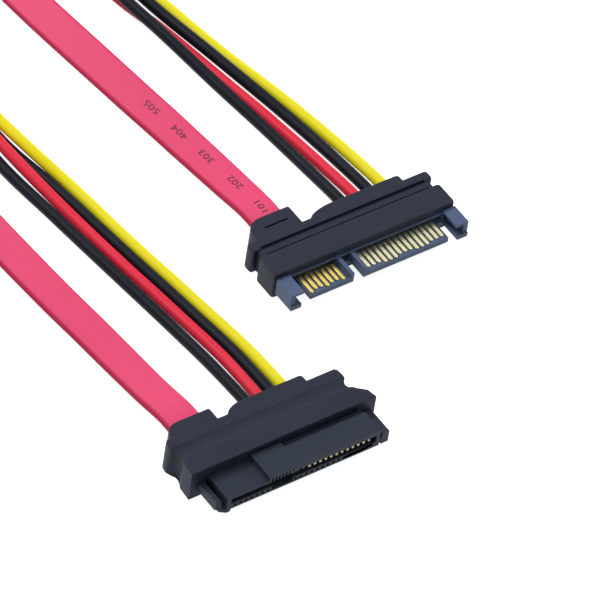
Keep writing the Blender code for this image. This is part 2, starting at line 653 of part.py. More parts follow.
def receptacle_housing():
    """Plastic core of the receptacle: long mouth, raised roof, guide posts and contact grooves."""
    front = -FRONT_GAP
    bm = bmesh.new()
    add_box(bm, (-SHELL_HALF, SHELL_HALF), (-SHELL_REACH, front), (SHELL_BASE, SHELL_TOP))
    obj = place("receptacle_housing", bm, REC_AT, REC_PLASTIC_FINISH)

    bm = bmesh.new()
    add_box(bm, (RAISED_FROM_X, SHELL_HALF), (-SHELL_REACH, front), (SHELL_TOP - JOIN, RAISED_TOP))
    combine(obj, "UNION", tool("receptacle_roof_tool", bm, REC_AT))

    bm = bmesh.new()
    block_half = REC_CAVITY_HALF - MOULD_GAP
    add_box(bm, (-block_half, block_half), (REC_BLOCK_START, BLOCK_DEPTH), (REC_BLOCK_BASE, REC_BLOCK_TOP))
    combine(obj, "UNION", tool("receptacle_block_tool", bm, REC_AT))
    bm = bmesh.new()
    link_half = block_half - JOIN
    add_box(bm, (-link_half, link_half), (front - REC_LINK_REACH, REC_BLOCK_START + JOIN),
            (REC_LINK_BASE, REC_LINK_TOP))
    combine(obj, "UNION", tool("receptacle_link_tool", bm, REC_AT))

    bm = bmesh.new()
    add_box(bm, (-LEFT_POST_OUTER + LEFT_POST_TAPER + WEB_SINK, RIGHT_POST_OUTER - WEB_SINK),
            (-WEB_REACH, front - WEB_SINK), (POST_BASE + WEB_SINK, WEB_TOP))
    combine(obj, "UNION", tool("receptacle_web_tool", bm, REC_AT))

    bm = bmesh.new()
    outline = [(-LEFT_POST_OUTER, POST_TOP), (-LEFT_POST_OUTER, POST_CHAMFER_Z), (-POST_FOOT_OUT, POST_BASE),
               (-POST_FOOT_IN, POST_BASE), (-POST_FOOT_IN, POST_FOOT_TOP), (-POST_INNER, POST_FOOT_TOP),
               (-POST_INNER, POST_TOP)]
    add_prism(bm, outline, (-LEFT_POST_REACH, front), "Y")
    combine(obj, "UNION", tool("receptacle_left_post_tool", bm, REC_AT))
    bm = bmesh.new()
    past = -LEFT_POST_OUTER - BITE
    tip_x = -LEFT_POST_OUTER + LEFT_POST_TAPER
    outline = [(past, front - JOIN), (past, -LEFT_POST_REACH - BITE), (-SHELL_HALF, -LEFT_POST_REACH - BITE),
               (-SHELL_HALF, -LEFT_POST_REACH), (tip_x, -LEFT_POST_REACH + LEFT_POST_TIP),
               (-LEFT_POST_OUTER, front - JOIN)]
    add_prism(bm, outline, (POST_BASE - BITE, POST_TOP + BITE), "Z")
    combine(obj, "DIFFERENCE", tool("receptacle_post_tip_tool", bm, REC_AT))
    bm = bmesh.new()
    add_box(bm, (POST_INNER, RIGHT_POST_OUTER), (-RIGHT_POST_REACH, front), (POST_BASE, POST_TOP))
    combine(obj, "UNION", tool("receptacle_right_post_tool", bm, REC_AT))

    bm = bmesh.new()
    add_box(bm, (ROOF_RECESS_FROM_X, SHELL_HALF + BITE), (-ROOF_RECESS_REACH, 0),
            (ROOF_RECESS_FLOOR, RAISED_TOP + BITE))
    combine(obj, "DIFFERENCE", tool("receptacle_roof_recess_tool", bm, REC_AT))

    bm = bmesh.new()
    way_in = (-SHELL_REACH - BITE, -SHELL_REACH + MOUTH_DEPTH)
    add_box(bm, (-MOUTH_HALF, MOUTH_HALF), way_in, (MOUTH_BASE, MOUTH_TOP))
    combine(obj, "DIFFERENCE", tool("receptacle_mouth_tool", bm, REC_AT))
    bm = bmesh.new()
    add_box(bm, (POWER_MOUTH_FROM_X, MOUTH_HALF), way_in, (MOUTH_BASE + CUT_OVERLAP, POWER_MOUTH_TOP))
    combine(obj, "DIFFERENCE", tool("receptacle_power_mouth_tool", bm, REC_AT))

    bm = bmesh.new()
    add_box(bm, KEY_RECESS_X, way_in, (MOUTH_BASE - KEY_RECESS_DEPTH, MOUTH_BASE + CUT_OVERLAP))
    combine(obj, "DIFFERENCE", tool("receptacle_key_tool", bm, REC_AT))

    grooves = bmesh.new()
    ways = bmesh.new()
    pockets = bmesh.new()
    groove_rear = -SHELL_REACH + MOUTH_DEPTH
    half = BEAM_WIDTH / 2 + GROOVE_SIDE_GAP
    beam_base = BEAM_Z - BEAM_THICKNESS / 2 - METAL_GAP
    beam_top = BEAM_Z + BEAM_THICKNESS / 2 + METAL_GAP
    noses = [BACK_NOSE_Y] * SIGNAL_COUNT + [nose_of_group(i // POWER_GROUP) for i in range(POWER_COUNT)]
    for x, nose_y in zip(SIGNAL_XS + POWER_XS, noses):
        tip_y = nose_y - BEAM_TIP_LENGTH - TIP_ROOM
        add_box(grooves, (x - half, x + half), (tip_y, groove_rear), (beam_base, MOUTH_BASE + JOIN))
        add_box(ways, (x - half, x + half), (groove_rear - CUT_OVERLAP, BLOCK_DEPTH + JOIN),
                (beam_base, beam_top))
        pocket = LIP_POCKET_WIDTH / 2
        add_box(pockets, (x - pocket, x + pocket), (-SHELL_REACH - JOIN, -SHELL_REACH + LIP_POCKET_DEPTH),
                LIP_POCKET_Z)
    half = SECOND_PORT_WIDTH / 2 + GROOVE_SIDE_GAP
    strip_base = SECOND_PORT_Z - BEAM_THICKNESS / 2 - METAL_GAP
    strip_top = SECOND_PORT_Z + BEAM_THICKNESS / 2 + METAL_GAP
    notch = SECOND_NOTCH_WIDTH / 2
    for x in SECOND_PORT_XS:
        tip_y = BACK_NOSE_Y - BEAM_TIP_LENGTH - TIP_ROOM
        add_box(grooves, (x - half, x + half), (tip_y, groove_rear), (MOUTH_TOP - JOIN, strip_top))
        add_box(ways, (x - half, x + half), (groove_rear - CUT_OVERLAP, BLOCK_DEPTH + JOIN),
                (strip_base, strip_top))
        add_box(pockets, (x - notch, x + notch), (-SHELL_REACH - JOIN, -SHELL_REACH + SECOND_NOTCH_DEPTH),
                (MOUTH_TOP - JOIN, SECOND_NOTCH_TOP))
    combine(obj, "DIFFERENCE", tool("receptacle_groove_tool", grooves, REC_AT))
    combine(obj, "DIFFERENCE", tool("receptacle_way_tool", ways, REC_AT))
    combine(obj, "DIFFERENCE", tool("receptacle_pocket_tool", pockets, REC_AT))


def nose_of_group(group):
    """Return the Y of the noses of a power terminal: the first terminal's lie further back."""
    return FRONT_NOSE_Y if group in FRONT_NOSE_GROUPS else BACK_NOSE_Y


def beam_outline(level, rise, nose_y, tail_y):
    """Side outline of a sprung contact in the YZ plane: flat tail, rising arm, nose and tip.

    level is the height of the flat stretch and rise is how far the nose stands from it.
    """
    middle = [(tail_y, level), (BEAM_ROOT_Y, level), (nose_y + BEAM_TIP_LENGTH * 0.9, level + rise * 0.9),
              (nose_y, level + rise), (nose_y - BEAM_TIP_LENGTH * 0.5, level + rise * 0.85),
              (nose_y - BEAM_TIP_LENGTH, level + rise * 0.5)]
    upper = []
    lower = []
    for i, (y, z) in enumerate(middle):
        before = middle[max(i - 1, 0)]
        after = middle[min(i + 1, len(middle) - 1)]
        along = Vector((after[0] - before[0], after[1] - before[1])).normalized()
        offset = Vector((-along.y, along.x)) * BEAM_THICKNESS / 2
        upper.append((y + offset.x, z + offset.y))
        lower.append((y - offset.x, z - offset.y))
    return upper + list(reversed(lower))


def receptacle_contacts():
    """Sprung contacts of the receptacle: seven signal, five power terminals, seven of the second port."""
    rise = MOUTH_BASE + BEAM_NOSE_RISE - BEAM_THICKNESS / 2 - BEAM_Z
    half = BEAM_WIDTH / 2
    for i, x in enumerate(SIGNAL_XS):
        bm = bmesh.new()
        add_prism(bm, beam_outline(BEAM_Z, rise, BACK_NOSE_Y, CONTACT_TAIL_Y), (x - half, x + half), "X")
        place(f"receptacle_signal_contact_{i + 1}", bm, REC_AT, GOLD_FINISH)
    bar_z = (BEAM_Z - BEAM_THICKNESS / 2, BEAM_Z + BEAM_THICKNESS / 2)
    for group in range(GROUPS):
        first = group * POWER_GROUP
        xs = POWER_XS[first:first + POWER_GROUP]
        bm = bmesh.new()
        add_box(bm, (xs[0] - half, xs[-1] + half), (BAR_Y, BAR_Y + BAR_DEPTH), bar_z)
        name = f"receptacle_power_terminal_{group + 1}"
        obj = place(name, bm, REC_AT, PALE_GOLD_FINISH)
        bm = bmesh.new()
        for x in xs:
            shrink = 0.01
            outline = beam_outline(BEAM_Z, rise, nose_of_group(group), BAR_Y + BAR_DEPTH / 2)
            add_prism(bm, outline, (x - half + shrink, x + half - shrink), "X")
        combine(obj, "UNION", tool(f"{name}_beam_tool", bm, REC_AT))
        if group:
            add_pad(obj, name, REC_AT, sum(xs) / POWER_GROUP, bar_z, REC_WIRE_XS[group - 1], REC_PAD_Y)
    drop = MOUTH_TOP - BEAM_NOSE_RISE + BEAM_THICKNESS / 2 - SECOND_PORT_Z
    half = SECOND_PORT_WIDTH / 2
    for i, x in enumerate(SECOND_PORT_XS):
        bm = bmesh.new()
        outline = beam_outline(SECOND_PORT_Z, drop, BACK_NOSE_Y, CONTACT_TAIL_Y)
        add_prism(bm, outline, (x - half, x + half), "X")
        place(f"receptacle_second_port_contact_{i + 1}", bm, REC_AT, GOLD_FINISH)


def rod(name, at, start, end, diameter, finish):
    """Place a straight round piece between two points."""
    curve = bpy.data.curves.new(name, "CURVE")
    curve.dimensions = "3D"
    curve.bevel_depth = diameter / 2 * MM
    curve.bevel_resolution = 1
    curve.use_fill_caps = True
    spline = curve.splines.new("POLY")
    spline.points.add(1)
    for point, place_at in zip(spline.points, (start, end)):
        point.co = (*(Vector(place_at) * MM), 1.0)
    curve.materials.append(material_of(finish))
    obj = bpy.data.objects.new(name, curve)
    obj.location = at * MM
    bpy.context.collection.objects.link(obj)


def inner_cores():
    """Cores and drain wires that join the flat cable to the signal contacts at each end."""
    for end, at, flat_x, level in (("plug", PLUG_AT, PLUG_FLAT_X, (PLUG_METAL_BASE + PLUG_METAL_TOP) / 2),
                                   ("receptacle", REC_AT, REC_FLAT_X, BEAM_Z)):
        middle = sum(SIGNAL_XS) / SIGNAL_COUNT
        for kind, picks, diameter, finish in (("core", CORE_SIGNALS, CORE_DIAMETER, CORE_FINISH),
                                              ("drain", DRAIN_SIGNALS, DRAIN_DIAMETER, COPPER_FINISH)):
            for number, index in enumerate(picks):
                x = SIGNAL_XS[index]
                x_end = flat_x + (x - middle) * CORE_SPREAD
                start = (x, CONTACT_TAIL_Y + CORE_GAP, level)
                end_point = (x_end, FLAT_END_Y - CORE_GAP, CORD_Z)
                rod(f"{end}_data_{kind}_{number + 1}", at, start, end_point, diameter, finish)


def flat_route():
    """Route of the flat cable in the part's frame: x, y, z and roll in degrees about its own line."""
    plug_x = PLUG_AT.x + PLUG_FLAT_X
    rec_x = REC_AT.x + REC_FLAT_X
    plug_out = PLUG_AT.y + PLUG_REAR_Y + PLUG_FLAT_BOSS_REACH
    rec_out = REC_AT.y + REC_REAR_Y + REC_FLAT_BOSS_REACH
    return [
        (plug_x, PLUG_AT.y + FLAT_END_Y, CORD_Z, 0),
        (plug_x, plug_out, CORD_Z, 0),
        (plug_x, plug_out + STRAIGHT_RUN, CORD_Z, 0),
        (9.3, 42, 2.2, 5),
        (8.1, 56, 1.6, 11),
        (4.9, 80, 2.0, 17),
        (2.0, 105, 2.0, 17),
        (0.9, 125, 1.05, 0),
        (0.6, 144, 1.05, 0),
        (0.6, 160, 1.05, 0),
        (0.7, 172, 1.05, 0),
        (0.7, 186, 3.7, 45),
        (0.6, 200, 4.1, 90),
        (-3.4, 213, 4.1, 90),
        (-10.8, 220.3, 4.1, 90),
        (-20.4, 222.9, 4.1, 90),
        (-30, 220.3, 4.1, 90),
        (-37.4, 213, 4.1, 90),
        (-41.3, 200, 4.1, 90),
        (-41.4, 186, 3.7, 45),
        (-41.5, 172, 1.05, 0),
        (-41.4, 148, 1.05, 0),
        (-41.0, 120, 1.05, 0),
        (-40.6, 92, 1.15, -2),
        (-39.9, 62, 1.35, -5),
        (-38.4, 38, 1.35, -5),
        (-36.3, 16, 1.2, -3),
        (-35.6, 3, 2.0, 0),
        (rec_x, rec_out + STRAIGHT_RUN, CORD_Z, 0),
        (rec_x, rec_out, CORD_Z, 0),
        (rec_x, REC_AT.y + FLAT_END_Y, CORD_Z, 0),
    ]


def wire_legs():
    """Hand-laid stretches of the four wires: from the plug, and back to the receptacle."""
    plug_legs = (
        [(25.3, 40, 2.3), (24.6, 52, 1.8), (22.6, 67, 2.3), (20.2, 84, 3.45), (18.6, 96, 3.75),
         (18.1, 107, 4.05)],
        [(28.7, 38, 2.1), (27.8, 50, 1.3), (24.5, 71, 1.3), (21.8, 87, 1.3), (19.5, 97, 1.3),
         (18.3, 107, 1.4)],
        [(32.2, 38, 2.1), (31.0, 52, 1.4), (26.5, 75, 2.4), (23.5, 93, 2.3), (22.0, 101, 3.2),
         (21.2, 109, 3.95)],
        [(35.4, 38, 2.1), (33.4, 55, 1.3), (28.9, 77, 1.3), (26.1, 94, 1.3), (24.0, 103, 1.3),
         (21.9, 110, 1.45)],
    )
    rec_legs = (
        [(-27.6, 84, 1.4), (-28.0, 70, 1.3), (-26.2, 52, 1.3), (-24.2, 34, 1.3), (-22.3, 17, 1.35),
         (-21.6, 3, 2.3)],
        [(-26.2, 86, 3.95), (-25.9, 73, 3.3), (-23.9, 56, 1.7), (-21.75, 37, 1.3), (-19.3, 17, 1.35),
         (-18.5, 3, 2.4)],
        [(-23.9, 86, 1.4), (-24.2, 75, 1.3), (-21.7, 58, 1.3), (-19.25, 38, 1.3), (-16.6, 17, 1.35),
         (-15.75, 3, 2.4)],
        [(-23.4, 88, 3.95), (-22.9, 77, 3.85), (-21.3, 68, 3.0), (-19.3, 60, 1.6), (-16.9, 40, 1.3),
         (-14.0, 17, 1.35), (-13.05, 3, 2.4)],
    )
    return plug_legs, rec_legs


def bundle_route():
    """Centre line of the four wires where they run together, out of the fanned stretches."""
    return [
        (19.5, 119, 3.25), (16.2, 131, 3.8), (10.2, 142, 5.2), (2.5, 151.5, 5.8), (-3.9, 161, 5.8),
        (-7.3, 172, 4.4), (-7.9, 184, 3.3), (-7.9, 197, 3.3), (-10.4, 204.7, 3.3), (-17.0, 209.5, 3.3),
        (-25.0, 209.5, 3.3), (-31.6, 204.7, 3.3), (-34.1, 197, 3.3), (-33.6, 182, 3.3), (-32.1, 162, 3.3),
        (-29.8, 140, 3.3), (-27.0, 120, 3.3), (-25.0, 102, 3.3),
    ]


def bundle_wire(corner):
    """Route of one wire in the bundle: a corner of a square that turns half round along the way."""
    line = [Vector(p) for p in bundle_route()]
    last = len(line) - 1
    points = []
    for i, centre in enumerate(line):
        along = line[min(i + 1, last)] - line[max(i - 1, 0)]
        right = Vector((along.y, -along.x, 0.0)).normalized()
        angle = math.radians(corner) + BUNDLE_HALF_TURN * i / last
        point = centre + right * BUNDLE_RADIUS * math.cos(angle)
        point.z += BUNDLE_RADIUS * math.sin(angle)
        points.append(tuple(point))
    return points


def wire_route(index):
    """Whole route of a power wire from its pad in the plug to its pad in the receptacle."""
    corners = (135, 225, 45, -45)
    plug_legs, rec_legs = wire_legs()
    plug_x = PLUG_AT.x + PLUG_WIRE_XS[index]
    rec_x = REC_AT.x + REC_WIRE_XS[index]
    start = [(plug_x, PLUG_AT.y + PLUG_PAD_Y + CORD_GAP, CORD_Z),
             (plug_x, PLUG_AT.y + PLUG_REAR_Y + PLUG_WIRE_BOSS_REACH, CORD_Z)]
    end = [(rec_x, REC_AT.y + REC_REAR_Y + REC_WIRE_BOSS_REACH, CORD_Z),
           (rec_x, REC_AT.y + REC_PAD_Y + CORD_GAP, CORD_Z)]
    return start + plug_legs[index] + bundle_wire(corners[index]) + rec_legs[index] + end


def smooth_points(route, step):
    """Points at even steps along a smooth curve through a route, with centripetal knots.

    Each span is a cubic whose end slopes come from its neighbours, and every number of a route
    point, also a roll angle, is carried along the same way.
    """
    size = len(route[0])
    keys = [Vector(p[:3]) for p in route]
    knots = [0.0]
    for a, b in zip(keys, keys[1:]):
        knots.append(knots[-1] + (b - a).length)

    def slope(i, k):
        if i == 0:
            return (route[1][k] - route[0][k]) / (knots[1] - knots[0])
        if i == len(route) - 1:
            return (route[i][k] - route[i - 1][k]) / (knots[i] - knots[i - 1])
        before = (route[i][k] - route[i - 1][k]) / (knots[i] - knots[i - 1])
        after = (route[i + 1][k] - route[i][k]) / (knots[i + 1] - knots[i])
        share = (knots[i + 1] - knots[i]) / (knots[i + 1] - knots[i - 1])
        return before * share + after * (1 - share)

    dense = []
    for i in range(len(route) - 1):
        span = knots[i + 1] - knots[i]
        for j in range(SMOOTH_STEPS):
            t = j / SMOOTH_STEPS
            weights = (2 * t**3 - 3 * t**2 + 1, t**3 - 2 * t**2 + t, -2 * t**3 + 3 * t**2, t**3 - t**2)
            dense.append([weights[0] * route[i][k] + weights[1] * span * slope(i, k)
                          + weights[2] * route[i + 1][k] + weights[3] * span * slope(i + 1, k)
                          for k in range(size)])
    dense.append(list(route[-1]))

    reach = [0.0]
    for a, b in zip(dense, dense[1:]):
        reach.append(reach[-1] + (Vector(b[:3]) - Vector(a[:3])).length)
    count = max(2, round(reach[-1] / step))
    points = []
    j = 0
    for n in range(count + 1):
        target = reach[-1] * n / count
        while j < len(dense) - 2 and reach[j + 1] < target:
            j += 1
        share = (target - reach[j]) / (reach[j + 1] - reach[j])
        points.append([dense[j][k] + (dense[j + 1][k] - dense[j][k]) * share for k in range(size)])
    return points


def cord(name, route, step, radius, side, finish):
    """Place a cord as a bevelled curve along a smooth route; side widens it into a flat cable."""
    curve = bpy.data.curves.new(name, "CURVE")
    curve.dimensions = "3D"
    curve.twist_mode = "Z_UP"
    curve.bevel_depth = radius * MM
    curve.bevel_resolution = 2
    curve.extrude = side * MM
    curve.use_fill_caps = True
    points = smooth_points(route, step)
    spline = curve.splines.new("POLY")
    spline.points.add(len(points) - 1)
    for target, values in zip(spline.points, points):
        roll = math.radians(values[3]) if side else 0.0
        low = radius + side * abs(math.sin(roll))
        target.co = (values[0] * MM, values[1] * MM, max(values[2], low) * MM, 1.0)
        if side:
            target.tilt = math.radians(90) - roll
    curve.materials.append(material_of(finish))
    obj = bpy.data.objects.new(name, curve)
    bpy.context.collection.objects.link(obj)


def cords():
    """The flat data cable and the four power wires, each one length from plug to receptacle."""
    side = (FLAT_WIDTH - FLAT_THICKNESS) / 2
    cord("data_cable", flat_route(), FLAT_STEP, FLAT_THICKNESS / 2, side, FLAT_FINISH)
    finishes = (BLACK_FINISH, RED_FINISH, BLACK_FINISH, YELLOW_FINISH)
    for index, (name, finish) in enumerate(zip(WIRE_NAMES, finishes)):
        cord(f"wire_{name}", wire_route(index), WIRE_STEP, WIRE_DIAMETER / 2, 0.0, finish)


def main():
    """Build the two connectors and the cords between them."""
    clear_scene()
    plug_overmould()
    plug_housing()
    plug_contacts()
    receptacle_overmould()
    receptacle_housing()
    receptacle_contacts()
    inner_cores()
    cords()


main()
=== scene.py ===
"""Looks of the drive adapter cable: finishes, cords, moulded grips, light and camera.

Lengths are millimetres in the part's frame, and become metres as each mesh is made.
"""

import logging
import math
from dataclasses import dataclass
from enum import Enum

import bmesh
import bpy
import numpy as np
from bpy.types import Material, Mesh, Node, NodeSocket, NodeTree, Object
from mathutils import Matrix, Vector


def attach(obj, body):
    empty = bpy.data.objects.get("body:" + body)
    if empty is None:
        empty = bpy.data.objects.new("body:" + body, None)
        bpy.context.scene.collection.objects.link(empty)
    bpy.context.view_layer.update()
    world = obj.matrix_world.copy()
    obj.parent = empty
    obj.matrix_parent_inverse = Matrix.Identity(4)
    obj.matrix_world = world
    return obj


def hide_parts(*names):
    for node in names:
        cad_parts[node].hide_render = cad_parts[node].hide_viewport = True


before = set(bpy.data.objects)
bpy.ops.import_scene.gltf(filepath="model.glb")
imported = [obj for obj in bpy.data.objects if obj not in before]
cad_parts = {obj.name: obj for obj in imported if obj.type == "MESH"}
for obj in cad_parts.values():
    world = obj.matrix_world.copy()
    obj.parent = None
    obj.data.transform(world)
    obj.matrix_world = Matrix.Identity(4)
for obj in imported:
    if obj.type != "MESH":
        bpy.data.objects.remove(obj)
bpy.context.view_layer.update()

MM = 0.001
LOG = logging.getLogger("adapter_cable")

# Sizes that the cords share with the part's source
WIRE_DIAMETER = 2.45
FLAT_WIDTH = 7.75
FLAT_THICKNESS = 2.0
HALF_FLAT = (FLAT_WIDTH - FLAT_THICKNESS) / 2
CORD_Z = 3.1
BUNDLE_RADIUS = 2.0
BUNDLE_HALF_TURN = -math.pi
SPAN_STEPS = 24

# How many of each small piece one connector has, for contacts in each row
SIGNAL_CONTACTS = 7
POWER_TERMINALS = 5
DATA_CORES = 4
DATA_DRAINS = 3

# How a copy of a solid is cleaned and shaded
WELD_MM = 0.002
FLAT_WITHIN = math.radians(0.8)
SHARP_FROM = math.radians(34)


def linear(hex_colour: str) -> tuple[float, float, float, float]:
    """Turn an sRGB hex colour into the linear colour that a shader takes.

    Args:
        hex_colour: six hex digits, with or without a leading hash.

    Returns:
        Linear red, green and blue, and an alpha of 1.
    """
    digits = hex_colour.lstrip("#")
    values = [int(digits[i:i + 2], 16) / 255 for i in (0, 2, 4)]
    parts = [v / 12.92 if v <= 0.04045 else ((v + 0.055) / 1.055) ** 2.4 for v in values]
    return (parts[0], parts[1], parts[2], 1.0)


def add_node(tree: NodeTree, kind: str, settings: dict | None = None, links: dict | None = None) -> Node:
    """Add a shader node with its settings and the links into it.

    Args:
        tree: the node tree that takes the node.
        kind: the node's type name.
        settings: values by property name, or by the name or number of an input.
        links: output sockets by the name or number of the input that each feeds.

    Returns:
        The new node.
    """
    node = tree.nodes.new(kind)
    for key, value in (settings or {}).items():
        if isinstance(key, str) and hasattr(node, key):
            setattr(node, key, value)
        else:
            node.inputs[key].default_value = value
    for key, socket in (links or {}).items():
        tree.links.new(socket, node.inputs[key])
    return node


def add_math(tree: NodeTree, operation: str, first: NodeSocket,
             second: NodeSocket | float | None = None) -> NodeSocket:
    """Add an operation on one or two numbers.

    Args:
        tree: the node tree that takes the node.
        operation: the operation's name.
        first: the first number.
        second: the second number, as a socket or a constant, where the operation takes one.

    Returns:
        The result.
    """
    settings = {"operation": operation}
    links = {0: first}
    if isinstance(second, NodeSocket):
        links[1] = second
    elif second is not None:
        settings[1] = second
    return add_node(tree, "ShaderNodeMath", settings, links).outputs[0]


def add_noise(tree: NodeTree, place: NodeSocket, scale: float, detail: float) -> NodeSocket:
    """Add noise in layers.

    Args:
        tree: the node tree that takes the node.
        place: the place that the noise is read at.
        scale: how many of the largest grains fit in one unit of the place.
        detail: how many finer layers lie on the first.

    Returns:
        The noise, from 0 to 1.
    """
    noise = add_node(tree, "ShaderNodeTexNoise", {"Scale": scale, "Detail": detail}, {"Vector": place})
    return noise.outputs["Fac"]


def add_lines(tree: NodeTree, place: NodeSocket, scale: tuple[float, float, float],
              detail: float) -> NodeSocket:
    """Add noise that is drawn out into lines.

    Args:
        tree: the node tree that takes the nodes.
        place: the place that the noise is read at.
        scale: how many of the largest grains fit in one unit of the place, along each axis.
        detail: how many finer layers lie on the first.

    Returns:
        The noise, from 0 to 1.
    """
    stretch = add_node(tree, "ShaderNodeMapping", {"Scale": scale}, {"Vector": place})
    return add_noise(tree, stretch.outputs["Vector"], 1.0, detail)


def add_blend(tree: NodeTree, first: str, second: str, share: NodeSocket) -> NodeSocket:
    """Add a colour that goes from a first to a second hex colour as a share goes from 0 to 1."""
    blend = add_node(tree, "ShaderNodeMixRGB", {"Color1": linear(first), "Color2": linear(second)},
                     {"Fac": share})
    return blend.outputs["Color"]


def add_range(tree: NodeTree, low: float, high: float, share: NodeSocket) -> NodeSocket:
    """Add a number that goes from a low to a high value as a share goes from 0 to 1."""
    span = add_node(tree, "ShaderNodeMapRange", {"To Min": low, "To Max": high}, {"Value": share})
    return span.outputs["Result"]


def add_fall(tree: NodeTree, start_mm: float, end_mm: float, distance: NodeSocket) -> NodeSocket:
    """Add a share that eases from 1 to 0 as a distance goes from a first to a second length."""
    fall = add_node(tree, "ShaderNodeMapRange",
                    {"interpolation_type": "SMOOTHSTEP", "From Min": start_mm * MM, "From Max": end_mm * MM,
                     "To Min": 1.0, "To Max": 0.0},
                    {"Value": distance})
    return fall.outputs["Result"]


def add_bump(tree: NodeTree, strength: float, height_mm: float, relief: NodeSocket) -> NodeSocket:
    """Add a bump of a height in mm, from a relief that goes from 0 to 1."""
    bump = add_node(tree, "ShaderNodeBump", {"Strength": strength, "Distance": height_mm * MM},
                    {"Height": relief})
    return bump.outputs["Normal"]


def feed(tree: NodeTree, shader: Node, sockets: dict[str, NodeSocket]) -> None:
    """Link sockets into a shader, by the name of the input that each feeds."""
    for name, socket in sockets.items():
        tree.links.new(socket, shader.inputs[name])


def new_material(name: str, settings: dict) -> tuple[Material, NodeTree, Node]:
    """Make a material with a Principled shader and set the shader's constants.

    Args:
        name: the material's name.
        settings: constants by the shader's input name.

    Returns:
        The material, its node tree and the shader node.
    """
    material = bpy.data.materials.new(name)
    material.use_nodes = True
    tree = material.node_tree
    shader = tree.nodes["Principled BSDF"]
    for key, value in settings.items():
        shader.inputs[key].default_value = value
    return material, tree, shader


@dataclass(frozen=True)
class MouldedPlastic:
    """Injection-moulded plastic: a fine spark-eroded grain and a slight cloud in colour and gloss."""

    name: str
    dark: str
    light: str
    roughness: float
    gloss_spread: float = 0.06
    grain_mm: float = 0.22
    grain_height_mm: float = 0.012
    grain_strength: float = 0.6
    cloud_mm: float = 6.0
    specular: float = 0.5

    def build(self) -> Material:
        """Make the material: noise in object space drives the grain, the colour and the roughness."""
        material, tree, shader = new_material(self.name, {"Specular IOR Level": self.specular})
        place = add_node(tree, "ShaderNodeTexCoord").outputs["Object"]
        grain = add_noise(tree, place, 1 / (self.grain_mm * MM), 2.0)
        cloud = add_noise(tree, place, 1 / (self.cloud_mm * MM), 3.0)
        feed(tree, shader, {
            "Base Color": add_blend(tree, self.dark, self.light, cloud),
            "Roughness": add_range(tree, self.roughness - self.gloss_spread,
                                   self.roughness + self.gloss_spread, cloud),
            "Normal": add_bump(tree, self.grain_strength, self.grain_height_mm, grain),
        })
        return material


@dataclass(frozen=True)
class GroovedPlastic(MouldedPlastic):
    """Moulded plastic with painted shade along mould grooves in its upper faces, which are also a little
    sunk.

    Each groove is its middle Y, its first and last X and its half width, in mm.
    """

    grooves: tuple[tuple[float, float, float, float], ...] = ()
    # colour of the painted shade in the grooves
    shade: str = "#040508"
    sunk_mm: float = 0.12
    sunk_strength: float = 0.5
    end_mm: float = 0.4
    upward_from: float = 0.6

    def groove(self, tree: NodeTree, spot: Node,
               sizes: tuple[float, float, float, float]) -> NodeSocket:
        """Return how far inside one groove a place is.

        The share eases from 1 on the middle line to 0 at the half width, and from 1 to 0 over a
        short way before each end.

        Args:
            tree: the node tree that takes the nodes.
            spot: the node that gives the place's X and Y.
            sizes: the groove's middle Y, first X, last X and half width.

        Returns:
            The share, from 0 to 1.
        """
        middle, first, last, half = sizes
        reach = (last - first) / 2
        off = add_math(tree, "SUBTRACT", spot.outputs["Y"], middle * MM)
        aside = add_math(tree, "SUBTRACT", spot.outputs["X"], (first + last) / 2 * MM)
        line = add_fall(tree, 0.0, half, add_math(tree, "ABSOLUTE", off))
        within = add_fall(tree, reach - self.end_mm, reach, add_math(tree, "ABSOLUTE", aside))
        return add_math(tree, "MULTIPLY", line, within)

    def build(self) -> Material:
        """Make the material: the deepest groove at a place counts, on faces that look upward, for its
        painted shade and its sink.
        """
        material = super().build()
        tree = material.node_tree
        shader = tree.nodes["Principled BSDF"]
        place = add_node(tree, "ShaderNodeTexCoord")
        spot = add_node(tree, "ShaderNodeSeparateXYZ", None, {"Vector": place.outputs["Object"]})
        facing = add_node(tree, "ShaderNodeSeparateXYZ", None, {"Vector": place.outputs["Normal"]})
        upward = add_math(tree, "GREATER_THAN", facing.outputs["Z"], self.upward_from)
        sunk = self.groove(tree, spot, self.grooves[0])
        for sizes in self.grooves[1:]:
            sunk = add_math(tree, "MAXIMUM", sunk, self.groove(tree, spot, sizes))
        deep = add_math(tree, "MULTIPLY", sunk, upward)
        colour, normal = (shader.inputs[name].links[0].from_socket for name in ("Base Color", "Normal"))
        # Painted shade: the grooves darken towards the shade colour and lose their specular.
        tone = add_node(tree, "ShaderNodeMixRGB", {"Color2": linear(self.shade)},
                        {"Fac": deep, "Color1": colour})
        bump = add_node(tree, "ShaderNodeBump",
                        {"invert": True, "Strength": self.sunk_strength, "Distance": self.sunk_mm * MM},
                        {"Height": deep, "Normal": normal})
        feed(tree, shader, {
            "Base Color": tone.outputs["Color"],
            "Normal": bump.outputs["Normal"],
            "Specular IOR Level": add_range(tree, self.specular, 0.0, deep),
        })
        return material


@dataclass(frozen=True)
class WireInsulation:
    """Extruded PVC insulation: a satin skin with faint draw lines along the wire."""

    name: str
    dark: str
    light: str
    roughness: float = 0.48
    gloss_spread: float = 0.08
    specular: float = 0.2
    draw_line_mm: float = 0.5
    line_length_mm: float = 14.0
    line_height_mm: float = 0.01
    line_strength: float = 0.1

    def build(self) -> Material:
        """Make the material: noise stretched along the piece's own UV map gives the draw lines."""
        material, tree, shader = new_material(self.name, {"Specular IOR Level": self.specular})
        place = add_node(tree, "ShaderNodeUVMap", {"uv_map": "along"}).outputs["UV"]
        lines = add_lines(tree, place, (1 / self.line_length_mm, 1 / self.draw_line_mm, 1.0), 2.0)
        feed(tree, shader, {
            "Base Color": add_blend(tree, self.dark, self.light, lines),
            "Roughness": add_range(tree, self.roughness - self.gloss_spread,
                                   self.roughness + self.gloss_spread, lines),
            "Normal": add_bump(tree, self.line_strength, self.line_height_mm, lines),
        })
        return material


